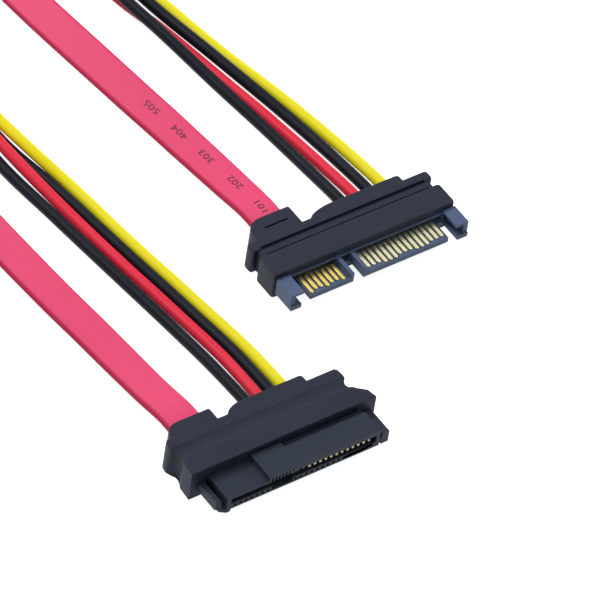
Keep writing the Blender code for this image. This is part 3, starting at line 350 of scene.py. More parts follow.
@dataclass(frozen=True)
class RibbonJacket:
    """Extruded soft jacket of the data cable: satin pink-red, with painted shade on its rounded edges."""

    name: str
    face: str
    streak: str
    # colour of the painted shade on the rounded edges
    edge: str
    roughness: float = 0.5
    smoother: float = 0.06
    rougher: float = 0.1
    specular: float = 0.2
    streak_mm: float = 0.7
    streak_length_mm: float = 40.0
    streak_height_mm: float = 0.03
    streak_strength: float = 0.2
    # share across from which the painted edge shade starts
    edge_share: float = 0.74

    def build(self) -> Material:
        """Make the material: streaks run along the UV map, and painted shade on the edges follows the place
        across.
        """
        material, tree, shader = new_material(self.name, {"Specular IOR Level": self.specular})
        place = add_node(tree, "ShaderNodeUVMap", {"uv_map": "along"}).outputs["UV"]
        lines = add_lines(tree, place, (1 / self.streak_length_mm, 1 / self.streak_mm, 1.0), 3.0)
        across = add_node(tree, "ShaderNodeAttribute", {"attribute_name": "across"})
        # Painted shade: the colour darkens towards the edge colour over the outer share of the width.
        edge_shade = add_node(tree, "ShaderNodeMapRange",
                       {"interpolation_type": "SMOOTHSTEP", "From Min": self.edge_share, "From Max": 1.0},
                       {"Value": across.outputs["Fac"]})
        colour = add_node(tree, "ShaderNodeMixRGB", {"Color2": linear(self.edge)},
                          {"Fac": edge_shade.outputs["Result"],
                           "Color1": add_blend(tree, self.face, self.streak, lines)})
        feed(tree, shader, {
            "Base Color": colour.outputs["Color"],
            "Roughness": add_range(tree, self.roughness - self.smoother,
                                   self.roughness + self.rougher, lines),
            "Normal": add_bump(tree, self.streak_strength, self.streak_height_mm, lines),
        })
        return material


@dataclass(frozen=True)
class PlatedContact:
    """Stamped and plated copper alloy: bright metal with fine rolling lines along the blade."""

    name: str
    dark: str
    light: str
    roughness: float
    smoother: float = 0.05
    rougher: float = 0.1
    line_mm: float = 0.12
    line_length_mm: float = 3.0

    def build(self) -> Material:
        """Make the material: noise in object space, stretched along Y, gives the rolling lines."""
        material, tree, shader = new_material(self.name, {"Metallic": 1.0})
        place = add_node(tree, "ShaderNodeTexCoord").outputs["Object"]
        fine = 1 / (self.line_mm * MM)
        lines = add_lines(tree, place, (fine, 1 / (self.line_length_mm * MM), fine), 2.0)
        feed(tree, shader, {
            "Base Color": add_blend(tree, self.dark, self.light, lines),
            "Roughness": add_range(tree, self.roughness - self.smoother,
                                   self.roughness + self.rougher, lines),
        })
        return material


@dataclass(frozen=True)
class PrintInk:
    """Pad-printed ink: thin and matt, and paler at its worn spots."""

    name: str
    ink: str
    worn: str
    roughness: float = 0.6
    wear_mm: float = 0.35

    def build(self) -> Material:
        """Make the material: fine noise in object space breaks the ink up."""
        material, tree, shader = new_material(self.name, {"Roughness": self.roughness})
        place = add_node(tree, "ShaderNodeTexCoord").outputs["Object"]
        wear = add_noise(tree, place, 1 / (self.wear_mm * MM), 3.0)
        feed(tree, shader, {"Base Color": add_blend(tree, self.ink, self.worn, wear)})
        return material


class Finish(Enum):
    """The finishes of the cable, by the place that each is used."""

    OVERMOULD = MouldedPlastic("moulded_grip_pvc", "#1F2433", "#292E3F", 0.55, specular=0.2)
    # grip plastic with painted shade in its mould grooves
    PLUG_OVERMOULD = GroovedPlastic("plug_grip_pvc", "#1F2433", "#292E3F", 0.55, specular=0.2,
                                    grooves=((20.06, 2.0, 42.2, 0.48), (22.02, 2.2, 42.0, 0.44),
                                             (26.46, 6.2, 12.0, 0.4)))
    PLUG_CORE = MouldedPlastic("plug_core_nylon", "#4A5975", "#5B6C8E", 0.45, grain_mm=0.3, specular=0.25)
    RECEPTACLE_CORE = MouldedPlastic("receptacle_core_nylon", "#232A38", "#2E3645", 0.5, grain_mm=0.3,
                                     specular=0.2)
    GOLD = PlatedContact("gold_plated_contact", "#E2C04E", "#F8E48C", 0.26)
    PALE_GOLD = PlatedContact("pale_gold_plated_contact", "#DAD096", "#F4EEC8", 0.26)
    # darker, duller copy of the contact gold: painted shade for the combs inside the receptacle's mouth
    SHADED_GOLD = PlatedContact("spring_beam_gold_painted_shade", "#9C9474", "#C8C0A0", 0.34)
    TIN = PlatedContact("tinned_copper_strand", "#A89880", "#D8CCB8", 0.35)
    CORE_SKIN = MouldedPlastic("core_skin_polyethylene", "#C8C8C0", "#E0E0D8", 0.5)
    BLACK = WireInsulation("black_pvc_insulation", "#0B0D16", "#151926", specular=0.12)
    RED = WireInsulation("red_pvc_insulation", "#E0102E", "#FF3E58")
    YELLOW = WireInsulation("yellow_pvc_insulation", "#FAE602", "#FFF628")
    # jacket colours: face, streak, and the painted shade of the rounded edges
    JACKET = RibbonJacket("pink_pvc_jacket", "#F24874", "#FA5A86", "#CE2450")
    INK = PrintInk("legend_ink", "#4A1024", "#8A2C48")


class FinishBook:
    """Builds each finish once and hands out its material."""

    def __init__(self) -> None:
        """Start with no material made."""
        self.made: dict[Finish, Material] = {}

    def get(self, finish: Finish) -> Material:
        """Return the material of a finish.

        Args:
            finish: the finish that is wanted.

        Returns:
            Its material, made on first use.
        """
        if finish not in self.made:
            self.made[finish] = finish.value.build()
        return self.made[finish]


def link_piece(name: str, mesh: Mesh, material: Material) -> Object:
    """Put a finished mesh into the scene as a piece of the root body.

    Args:
        name: the piece's name.
        mesh: its mesh, in metres in the part's frame.
        material: its material.

    Returns:
        The new object, at the origin.
    """
    obj = bpy.data.objects.new(name, mesh)
    bpy.context.scene.collection.objects.link(obj)
    mesh.materials.clear()
    mesh.materials.append(material)
    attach(obj, "root")
    LOG.info("piece %s: %d faces", name, len(mesh.polygons))
    return obj


def shade_evenly(obj: Object) -> None:
    """Keep sharp edges sharp, and weigh the normals of the other corners by the size of their faces.

    Args:
        obj: the piece to shade.
    """
    obj.data.set_sharp_from_angle(angle=SHARP_FROM)
    weighted = obj.modifiers.new("even_shading", "WEIGHTED_NORMAL")
    weighted.keep_sharp = True


def eased_copy(node: str, name: str, material: Material, radius: float,
               segments: int = 3, round_from: float = 38.0) -> Object:
    """Copy a CAD node with its edges rounded as a mould leaves them, and let it stand for the node.

    The copy's loose triangles are merged, faces in one plane are joined, and each edge that turns
    more than an angle is rounded to a radius.

    Args:
        node: the CAD node.
        name: the new piece's name.
        material: its material.
        radius: radius of the rounding, in mm.
        segments: faces across a rounding.
        round_from: the least turn of an edge that is rounded, in degrees.

    Returns:
        The new object.
    """
    bm = bmesh.new()
    bm.from_mesh(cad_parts[node].data)
    bmesh.ops.remove_doubles(bm, verts=bm.verts, dist=WELD_MM * MM)
    bmesh.ops.dissolve_limit(bm, angle_limit=FLAT_WITHIN, verts=bm.verts, edges=bm.edges,
                             use_dissolve_boundaries=False)
    limit = math.radians(round_from)
    sharp = [e for e in bm.edges if len(e.link_faces) == 2 and e.calc_face_angle(0.0) > limit]
    bmesh.ops.bevel(bm, geom=sharp, offset=radius * MM, offset_type="OFFSET", segments=segments,
                    profile=0.5, affect="EDGES", clamp_overlap=True, miter_outer="ARC",
                    harden_normals=False)
    bmesh.ops.recalc_face_normals(bm, faces=bm.faces)
    mesh = bpy.data.meshes.new(name)
    bm.to_mesh(mesh)
    bm.free()
    mesh.polygons.foreach_set("use_smooth", np.ones(len(mesh.polygons), dtype=bool))
    obj = link_piece(name, mesh, material)
    shade_evenly(obj)
    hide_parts(node)
    return obj


def eased_contact(node: str, name: str, material: Material, radius: float) -> None:
    """Make an eased copy of a stamped contact, where gentler bends count as edges too.

    Args:
        node: the CAD node.
        name: the new piece's name.
        material: its material.
        radius: radius of the rounding, in mm.
    """
    eased_copy(node, name, material, radius, segments=2, round_from=30)


def cut_grooves(obj: Object, grooves: tuple[tuple[float, float, float, float], ...], half: float,
                depth: float, above: float = 1.0) -> None:
    """Cut shallow straight grooves along X into a finished piece.

    Each groove is a box: from its first to its last X, half a width to each side of its middle Y,
    and from its depth below the face to well above it.

    Args:
        obj: the piece to cut.
        grooves: each groove's middle Y, first X, last X and the height of its face, in mm.
        half: half the width of a groove, in mm.
        depth: how deep a groove goes, in mm.
        above: how far each box stands above the face, in mm.
    """
    corners = np.array([(i, j, k) for k in (0, 1) for j in (0, 1) for i in (0, 1)])
    sides = [(0, 2, 3, 1), (4, 5, 7, 6), (0, 1, 5, 4), (2, 6, 7, 3), (0, 4, 6, 2), (1, 3, 7, 5)]
    low = np.array([(first, middle - half, top - depth) for middle, first, last, top in grooves])
    high = np.array([(last, middle + half, top + above) for middle, first, last, top in grooves])
    verts = (low[:, None, :] + corners[None] * (high - low)[:, None, :]).reshape(-1, 3) * MM
    faces = [[v + len(corners) * i for v in side] for i in range(len(grooves)) for side in sides]
    mesh = bpy.data.meshes.new("groove_cutter")
    mesh.from_pydata(verts.tolist(), [], faces)
    cutter = bpy.data.objects.new("groove_cutter", mesh)
    bpy.context.scene.collection.objects.link(cutter)
    obj.modifiers.clear()
    cut = obj.modifiers.new("grooves", "BOOLEAN")
    cut.operation = "DIFFERENCE"
    cut.solver = "EXACT"
    cut.object = cutter
    whole = bpy.data.meshes.new_from_object(obj.evaluated_get(bpy.context.evaluated_depsgraph_get()))
    obj.modifiers.clear()
    obj.data = whole
    shade_evenly(obj)
    bpy.data.objects.remove(cutter, do_unlink=True)
    bpy.data.meshes.remove(mesh)


def length_run(points: np.ndarray) -> np.ndarray:
    """Return the length run from the first point to each point along straight lines."""
    return np.concatenate([[0.0], np.cumsum(np.linalg.norm(np.diff(points, axis=0), axis=1))])


def smooth_route(route: np.ndarray, step: float) -> np.ndarray:
    """Read a route as one smooth curve at even steps.

    Each span between two route points is a cubic of its end points and end slopes, where a slope
    is the mean of its two neighbour spans weighed by the other span's length. The cubic is read
    at equal parameters, and then again at equal lengths by linear interpolation.

    Args:
        route: one row for each given point, the first three columns its place in mm.
        step: the wanted distance between points, in mm.

    Returns:
        The points, with the route's other columns carried along.
    """
    spans = np.diff(length_run(route[:, :3]))[:, None]
    rates = np.diff(route, axis=0) / spans
    share = spans[1:] / (spans[1:] + spans[:-1])
    slopes = np.vstack([rates[:1], rates[:-1] * share + rates[1:] * (1 - share), rates[-1:]])
    t = np.linspace(0, 1, SPAN_STEPS, endpoint=False)[None, :, None]
    leaving = (spans * slopes[:-1])[:, None, :]
    arriving = (spans * slopes[1:])[:, None, :]
    dense = ((2 * t**3 - 3 * t**2 + 1) * route[:-1, None, :] + (t**3 - 2 * t**2 + t) * leaving
             + (3 * t**2 - 2 * t**3) * route[1:, None, :] + (t**3 - t**2) * arriving)
    dense = np.vstack([dense.reshape(-1, route.shape[1]), route[-1:]])
    reach = length_run(dense[:, :3])
    count = max(2, round(reach[-1] / step))
    wanted = np.linspace(0, reach[-1], count + 1)
    return np.column_stack([np.interp(wanted, reach, dense[:, k]) for k in range(route.shape[1])])


@dataclass
class SweptLine:
    """A centre line with the directions across it, for carrying a profile along."""

    points: np.ndarray
    side: np.ndarray
    up: np.ndarray
    reach: np.ndarray

    @classmethod
    def along(cls, points: np.ndarray, roll_degrees: np.ndarray) -> "SweptLine":
        """Work out the directions at each point.

        The tangent is the central difference of the points. The side lies level, at right angles
        to it, and is then turned up about the tangent by the roll. Up is side cross tangent.

        Args:
            points: centre line in mm.
            roll_degrees: roll at each point, where a positive roll lifts the right-hand edge.

        Returns:
            The line with its side and up directions, and the length run to each point.
        """
        tangent = np.gradient(points, axis=0)
        tangent /= np.linalg.norm(tangent, axis=1, keepdims=True)
        level = np.column_stack([tangent[:, 1], -tangent[:, 0], np.zeros(len(points))])
        level /= np.linalg.norm(level, axis=1, keepdims=True)
        lift = np.cross(level, tangent)
        roll = np.radians(roll_degrees)[:, None]
        side = level * np.cos(roll) + lift * np.sin(roll)
        up = np.cross(side, tangent)
        return cls(points, side, up, length_run(points))

    def at(self, length: np.ndarray) -> tuple[np.ndarray, np.ndarray, np.ndarray]:
        """Return the place, side and up directions at lengths along the line."""
        parts = [np.column_stack([np.interp(length, self.reach, table[:, k]) for k in range(3)])
                 for table in (self.points, self.side, self.up)]
        return parts[0], parts[1], parts[2]

    def sweep(self, name: str, profile: np.ndarray) -> Mesh:
        """Carry a closed profile along the line and close both ends flat.

        Each vertex is the line's point plus the profile's first number along side and its second
        along up. Quads join ring to ring, and a fan joins each end ring to its middle point. The
        UV map holds the length run and the way round the profile, both in mm, and the attribute
        across holds how far from the middle a vertex lies, from 0 to 1.

        Args:
            name: the mesh's name.
            profile: points round the profile in mm, anticlockwise seen against the travel.

        Returns:
            The closed mesh.
        """
        rings, round_count = len(self.points), len(profile)
        grid = (self.points[:, None, :] + profile[None, :, 0, None] * self.side[:, None, :]
                + profile[None, :, 1, None] * self.up[:, None, :])
        verts = np.vstack([grid.reshape(-1, 3), self.points[:1], self.points[-1:]]) * MM
        i, j = np.meshgrid(np.arange(rings - 1), np.arange(round_count), indexing="ij")
        k = (j + 1) % round_count
        quads = np.stack([i * round_count + j, (i + 1) * round_count + j, (i + 1) * round_count + k,
                          i * round_count + k], axis=-1).reshape(-1, 4)
        turn = np.arange(round_count)
        after = (turn + 1) % round_count
        first = np.column_stack([np.full(round_count, rings * round_count), turn, after])
        base = (rings - 1) * round_count
        last = np.column_stack([np.full(round_count, rings * round_count + 1), base + after, base + turn])
        mesh = bpy.data.meshes.new(name)
        mesh.from_pydata(verts.tolist(), [], quads.tolist() + first.tolist() + last.tolist())
        mesh.polygons.foreach_set("use_smooth", np.ones(len(mesh.polygons), dtype=bool))
        way = length_run(profile)
        near, far = self.reach[i], self.reach[i + 1]
        low, high = way[j], way[j] + way[1]
        quad_uv = np.stack([near, low, far, low, far, high, near, high], axis=-1).reshape(-1)
        uv = np.zeros(len(mesh.loops) * 2)
        uv[:len(quad_uv)] = quad_uv
        mesh.uv_layers.new(name="along").data.foreach_set("uv", uv)
        width = np.abs(profile[:, 0]).max()
        across = np.concatenate([np.tile(np.abs(profile[:, 0]) / width, rings), [0.0, 0.0]])
        mesh.attributes.new("across", "FLOAT", "POINT").data.foreach_set("value", across)
        bm = bmesh.new()
        bm.from_mesh(mesh)
        bmesh.ops.recalc_face_normals(bm, faces=bm.faces)
        bm.to_mesh(mesh)
        bm.free()
        return mesh


@dataclass
class Places:
    """Places of the two connectors and their exits, repeated from the part's source."""

    plug_at: tuple[float, float] = (22.1, 14.075)
    receptacle_at: tuple[float, float] = (-22.2, -22.375)
    plug_flat_x: float = -12.5
    receptacle_flat_x: float = -13.1
    plug_wire_xs: tuple[float, ...] = (3.65, 7.0, 10.35, 13.7)
    receptacle_wire_xs: tuple[float, ...] = (0.65, 3.5, 6.35, 9.2)
    plug_rear_y: float = 10.15
    receptacle_rear_y: float = 9.9
    plug_flat_reach: float = 5.15
    plug_wire_reach: float = 2.0
    receptacle_flat_reach: float = 3.5
    receptacle_wire_reach: float = 2.4
    flat_end_y: float = 8.6
    straight_run: float = 3.5
    plug_wire_end_y: float = 5.3
    receptacle_wire_end_y: float = 6.6


@dataclass
class DataCable:
    """The flat pink data cable, one length between the two connectors."""

    places: Places
    finishes: FinishBook
    ring_step: float = 1.6
    edge_points: int = 9
    face_points: int = 15
    rib_height: float = 0.05
    rib_count: int = 4
    node: str = "data_cable"

    def route(self) -> np.ndarray:
        """Return the listed route: place in mm and roll in degrees, as in the part's source."""
        spot = self.places
        plug_x = spot.plug_at[0] + spot.plug_flat_x
        rec_x = spot.receptacle_at[0] + spot.receptacle_flat_x
        plug_out = spot.plug_at[1] + spot.plug_rear_y + spot.plug_flat_reach
        rec_out = spot.receptacle_at[1] + spot.receptacle_rear_y + spot.receptacle_flat_reach
        return np.array([
            (plug_x, spot.plug_at[1] + spot.flat_end_y, CORD_Z, 0), (plug_x, plug_out, CORD_Z, 0),
            (plug_x, plug_out + spot.straight_run, CORD_Z, 0),
            (9.3, 42, 2.2, 5), (8.1, 56, 1.6, 11), (4.9, 80, 2.0, 17), (2.0, 105, 2.0, 17),
            (0.9, 125, 1.05, 0), (0.6, 144, 1.05, 0), (0.6, 160, 1.05, 0), (0.7, 172, 1.05, 0),
            (0.7, 186, 3.7, 45), (0.6, 200, 4.1, 90), (-3.4, 213, 4.1, 90),
            (-10.8, 220.3, 4.1, 90), (-20.4, 222.9, 4.1, 90), (-30, 220.3, 4.1, 90),
            (-37.4, 213, 4.1, 90), (-41.3, 200, 4.1, 90), (-41.4, 186, 3.7, 45), (-41.5, 172, 1.05, 0),
            (-41.4, 148, 1.05, 0), (-41.0, 120, 1.05, 0), (-40.6, 92, 1.15, -2), (-39.9, 62, 1.35, -5),
            (-38.4, 38, 1.35, -5), (-36.3, 16, 1.2, -3), (-35.6, 3, 2.0, 0),
            (rec_x, rec_out + spot.straight_run, CORD_Z, 0), (rec_x, rec_out, CORD_Z, 0),
            (rec_x, spot.receptacle_at[1] + spot.flat_end_y, CORD_Z, 0),
        ], dtype=float)

    def line(self) -> SweptLine:
        """Return the cable's centre line, kept so high that no edge sinks into the surface."""
        points = smooth_route(self.route(), self.ring_step)
        lowest = FLAT_THICKNESS / 2 + HALF_FLAT * np.abs(np.sin(np.radians(points[:, 3])))
        points[:, 2] = np.maximum(points[:, 2], lowest)
        return SweptLine.along(points[:, :3], points[:, 3])

    def profile(self) -> np.ndarray:
        """Return the section: two faces with shallow ribs over the cores, and two round edges.

        Across a face the height is half the thickness less a rib depth times half of one plus the
        cosine of the way across, so that the cores show as soft ribs.
        """
        radius = FLAT_THICKNESS / 2
        turn = np.radians(np.linspace(-90, 90, self.edge_points))
        right = np.column_stack([HALF_FLAT + radius * np.cos(turn), radius * np.sin(turn)])
        x = np.linspace(HALF_FLAT, -HALF_FLAT, self.face_points)[1:-1]
        dip = self.rib_height / 2 * (1 + np.cos(np.pi * self.rib_count * (x + HALF_FLAT) / HALF_FLAT))
        top = np.column_stack([x, radius - dip])
        return np.vstack([right, top, -right, -top])

    def build(self) -> Object:
        line = self.line()
        mesh = line.sweep("data_cable_jacket", self.profile())
        obj = link_piece("data_cable_jacket", mesh, self.finishes.get(Finish.JACKET))
        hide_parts(self.node)
        return obj


@dataclass
class PowerWires:
    """The four power wires, which fan out at both connectors and run as a twisted bundle between."""

    places: Places
    finishes: FinishBook
    ring_step: float = 1.3
    round_points: int = 20
    names: tuple[str, ...] = ("black_1", "red", "black_2", "yellow")
    corners: tuple[float, ...] = (135, 225, 45, -45)

    def plug_legs(self) -> list[list[tuple[float, float, float]]]:
        """Return each wire's listed stretch from the plug."""
        return [
            [(25.3, 40, 2.3), (24.6, 52, 1.8), (22.6, 67, 2.3), (20.2, 84, 3.45), (18.6, 96, 3.75),
             (18.1, 107, 4.05)],
            [(28.7, 38, 2.1), (27.8, 50, 1.3), (24.5, 71, 1.3), (21.8, 87, 1.3), (19.5, 97, 1.3),
             (18.3, 107, 1.4)],
            [(32.2, 38, 2.1), (31.0, 52, 1.4), (26.5, 75, 2.4), (23.5, 93, 2.3), (22.0, 101, 3.2),
             (21.2, 109, 3.95)],
            [(35.4, 38, 2.1), (33.4, 55, 1.3), (28.9, 77, 1.3), (26.1, 94, 1.3), (24.0, 103, 1.3),
             (21.9, 110, 1.45)],
        ]

    def receptacle_legs(self) -> list[list[tuple[float, float, float]]]:
        """Return each wire's listed stretch back to the receptacle."""
        return [
            [(-27.6, 84, 1.4), (-28.0, 70, 1.3), (-26.2, 52, 1.3), (-24.2, 34, 1.3), (-22.3, 17, 1.35),
             (-21.6, 3, 2.3)],
            [(-26.2, 86, 3.95), (-25.9, 73, 3.3), (-23.9, 56, 1.7), (-21.75, 37, 1.3), (-19.3, 17, 1.35),
             (-18.5, 3, 2.4)],
            [(-23.9, 86, 1.4), (-24.2, 75, 1.3), (-21.7, 58, 1.3), (-19.25, 38, 1.3), (-16.6, 17, 1.35),
             (-15.75, 3, 2.4)],
            [(-23.4, 88, 3.95), (-22.9, 77, 3.85), (-21.3, 68, 3.0), (-19.3, 60, 1.6), (-16.9, 40, 1.3),
             (-14.0, 17, 1.35), (-13.05, 3, 2.4)],
        ]

    def bundle(self, corner: float) -> list[tuple[float, float, float]]:
        """Return one wire's places in the bundle.

        The bundle's middle line is listed. A wire sits at a corner of a square about it, and
        the square turns half round from the first point to the last at an even rate.

        Args:
            corner: the angle of the wire's corner at the first point, in degrees.

        Returns:
            One place for each point of the middle line.
        """
        middle = np.array([
            (19.5, 119, 3.25), (16.2, 131, 3.8), (10.2, 142, 5.2), (2.5, 151.5, 5.8), (-3.9, 161, 5.8),
            (-7.3, 172, 4.4), (-7.9, 184, 3.3), (-7.9, 197, 3.3), (-10.4, 204.7, 3.3), (-17.0, 209.5, 3.3),
            (-25.0, 209.5, 3.3), (-31.6, 204.7, 3.3), (-34.1, 197, 3.3), (-33.6, 182, 3.3),
            (-32.1, 162, 3.3), (-29.8, 140, 3.3), (-27.0, 120, 3.3), (-25.0, 102, 3.3),
        ])
        ahead = np.vstack([middle[1:], middle[-1:]]) - np.vstack([middle[:1], middle[:-1]])
        right = np.column_stack([ahead[:, 1], -ahead[:, 0], np.zeros(len(middle))])
        right /= np.linalg.norm(right, axis=1, keepdims=True)
        angle = np.radians(corner) + BUNDLE_HALF_TURN * np.linspace(0, 1, len(middle))
        places = middle + right * (BUNDLE_RADIUS * np.cos(angle))[:, None]
        places[:, 2] += BUNDLE_RADIUS * np.sin(angle)
        return [tuple(p) for p in places]

    def line(self, index: int) -> SweptLine:
        """Return the centre line of one wire, by its number from the data cable's side."""
        spot = self.places
        plug_x = spot.plug_at[0] + spot.plug_wire_xs[index]
        rec_x = spot.receptacle_at[0] + spot.receptacle_wire_xs[index]
        plug_out = spot.plug_at[1] + spot.plug_rear_y + spot.plug_wire_reach
        rec_out = spot.receptacle_at[1] + spot.receptacle_rear_y + spot.receptacle_wire_reach
        route = [
            (plug_x, spot.plug_at[1] + spot.plug_wire_end_y, CORD_Z), (plug_x, plug_out, CORD_Z),
            *self.plug_legs()[index],
            *self.bundle(self.corners[index]),
            *self.receptacle_legs()[index],
            (rec_x, rec_out, CORD_Z), (rec_x, spot.receptacle_at[1] + spot.receptacle_wire_end_y, CORD_Z),
        ]
        points = smooth_route(np.array(route, dtype=float), self.ring_step)
        points[:, 2] = np.maximum(points[:, 2], WIRE_DIAMETER / 2)
        return SweptLine.along(points, np.zeros(len(points)))

    def build(self) -> None:
        """Make the four wires, each in place of its CAD wire."""
        tones = (Finish.BLACK, Finish.RED, Finish.BLACK, Finish.YELLOW)
        slots = ("black_jacket", "red_jacket", "black_jacket", "yellow_jacket")
        turn = np.linspace(0, 2 * np.pi, self.round_points, endpoint=False)
        profile = np.column_stack([np.cos(turn), np.sin(turn)]) * WIRE_DIAMETER / 2
        for index, (name, tone, slot) in enumerate(zip(self.names, tones, slots)):
            line = self.line(index)
            mesh = line.sweep(f"wire_{name}_insulation", profile)
            obj = link_piece(f"wire_{name}_insulation", mesh, self.finishes.get(tone))
            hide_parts(f"wire_{name}")


@dataclass
class Legend:
    """Generic plain numbers printed small along the data cable's upper face.

    A mark is its text and how far along the cable it starts, in mm. The text size is
    size_per_height times the height of a digit.
    """

    line: SweptLine
    finishes: FinishBook
    marks: tuple[tuple[str, float], ...] = (
        ("101", 8.2), ("202", 16.7), ("303", 25.9), ("404", 34.3), ("505", 42.8))
    height: float = 1.45
    size_per_height: float = 1.4
    curve_steps: int = 3
    stretch: float = 1.4
    beside_middle: float = 0.5
    proud: float = 0.02
    film_thickness: float = 0.03

    def build(self) -> Object:
        """Make the numbers as one thin mesh laid on the cable.

        Each number is filled text. Its own X, stretched, becomes the length along the cable. Its
        own Y becomes the way across, where the numbers' middle lies beside the cable's middle.
        The film lies a little proud of half the cable's thickness.
        """
        rows = []
        faces = []
        for text, start in self.marks:
            curve = bpy.data.curves.new("legend_text", "FONT")
            curve.body = text
            curve.size = self.height * self.size_per_height
            curve.resolution_u = self.curve_steps
            holder = bpy.data.objects.new("legend_text", curve)
            bpy.context.scene.collection.objects.link(holder)
            evaluated = holder.evaluated_get(bpy.context.evaluated_depsgraph_get())
            flat = evaluated.to_mesh()
            offset = sum(len(r) for r in rows)
            co = np.empty(len(flat.vertices) * 3)
            flat.vertices.foreach_get("co", co)
            co = co.reshape(-1, 3)
            rows.append(np.column_stack([start + self.stretch * co[:, 0],
                                         self.beside_middle + self.height / 2 - co[:, 1]]))
            faces += [[v + offset for v in p.vertices] for p in flat.polygons]
            evaluated.to_mesh_clear()
            bpy.data.objects.remove(holder, do_unlink=True)
            bpy.data.curves.remove(curve)
        spots = np.vstack(rows)
        place, side, up = self.line.at(spots[:, 0])
        verts = (place + side * spots[:, 1:2] + up * (FLAT_THICKNESS / 2 + self.proud)) * MM
        mesh = bpy.data.meshes.new("data_cable_legend")
        mesh.from_pydata(verts.tolist(), [], faces)
        obj = link_piece("data_cable_legend", mesh, self.finishes.get(Finish.INK))
        film = obj.modifiers.new("film", "SOLIDIFY")
        film.thickness = self.film_thickness * MM
        film.offset = 0.0
        return obj


@dataclass
class Plug:
    """The drive plug: moulded grip, plastic core, contacts and what lies inside.

    Each groove is its middle Y, its first and last X and the height of the face that it is cut
    into, in mm.
    """

    finishes: FinishBook
    grip_round: float = 0.15
    grooves: tuple[tuple[float, float, float, float], ...] = (
        (20.08, 3.2, 41.0, 5.9), (22.02, 2.2, 42.0, 6.2), (26.46, 6.3, 11.9, 5.8))
    groove_half: float = 0.15
    groove_depth: float = 0.15
    core_round: float = 0.09
    contact_round: float = 0.05
    name: str = "plug"

    def build(self) -> None:
        """Dress every node of the plug."""
        book = self.finishes
        grip = eased_copy("plug_overmould", "plug_grip", book.get(Finish.PLUG_OVERMOULD),
                          self.grip_round)
        cut_grooves(grip, self.grooves, self.groove_half, self.groove_depth)
        eased_copy("plug_housing", "plug_core", book.get(Finish.PLUG_CORE),
                   self.core_round, 2)
        for i in range(1, SIGNAL_CONTACTS + 1):
            eased_contact(f"plug_signal_contact_{i}", f"plug_signal_blade_{i}", book.get(Finish.GOLD),
                          self.contact_round)
        for i in range(1, POWER_TERMINALS + 1):
            eased_contact(f"plug_power_terminal_{i}", f"plug_power_comb_{i}", book.get(Finish.PALE_GOLD),
                          self.contact_round)
        dress_inside(self.name, book)


@dataclass
class Receptacle:
    """The drive receptacle: moulded grip, plastic core, sprung contacts and what lies inside."""

    finishes: FinishBook
    grip_round: float = 0.15
    core_round: float = 0.08
    contact_round: float = 0.04
    name: str = "receptacle"

    def build(self) -> None:
        """Dress every node of the receptacle."""
        book = self.finishes
        eased_copy("receptacle_overmould", "receptacle_grip", book.get(Finish.OVERMOULD),
                   self.grip_round)
        eased_copy("receptacle_housing", "receptacle_core", book.get(Finish.RECEPTACLE_CORE),
                   self.core_round, 2)
        for i in range(1, SIGNAL_CONTACTS + 1):
            for row in ("signal", "second_port"):
                eased_contact(f"receptacle_{row}_contact_{i}", f"receptacle_{row}_beam_{i}",
                              book.get(Finish.GOLD), self.contact_round)
        for i in range(1, POWER_TERMINALS + 1):
            # the combs inside the mouth take the gold with painted shade
            eased_contact(f"receptacle_power_terminal_{i}", f"receptacle_power_comb_{i}",
                          book.get(Finish.SHADED_GOLD), self.contact_round)
        dress_inside(self.name, book)


def dress_inside(end: str, book: FinishBook) -> None:
    """Give the bare cores and drain wires inside a grip their finishes.

    Args:
        end: the connector's name.
        book: the finishes.
    """
    for kind, count, finish in (("core", DATA_CORES, Finish.CORE_SKIN), ("drain", DATA_DRAINS, Finish.TIN)):
        for i in range(1, count + 1):
            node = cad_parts[f"{end}_data_{kind}_{i}"]
            for slot in node.material_slots:
                slot.material = book.get(finish)
            LOG.info("node %s dressed", node.name)


def seen_plainly(tree: NodeTree) -> NodeSocket:
    """Add a share that is 1 for a ray from the camera or from a mirror face, and 0 for any other."""
    path = add_node(tree, "ShaderNodeLightPath")
    return add_math(tree, "MAXIMUM", path.outputs["Is Camera Ray"], path.outputs["Is Glossy Ray"])


@dataclass(frozen=True)
class Lamp:
    """A square soft lamp that faces the origin: its place and side in mm and its power in watts."""

    name: str
    place: tuple[float, float, float]
    side: float
    power: float

    def build(self) -> None:
        """Make the lamp."""
        data = bpy.data.lights.new(self.name, "AREA")
        data.shape = "SQUARE"
        data.size = self.side * MM
        data.energy = self.power
        lamp = bpy.data.objects.new(self.name, data)
        lamp.location = Vector(self.place) * MM
        lamp.rotation_euler = (-Vector(self.place)).to_track_quat("-Z", "Y").to_euler()
        bpy.context.scene.collection.objects.link(lamp)


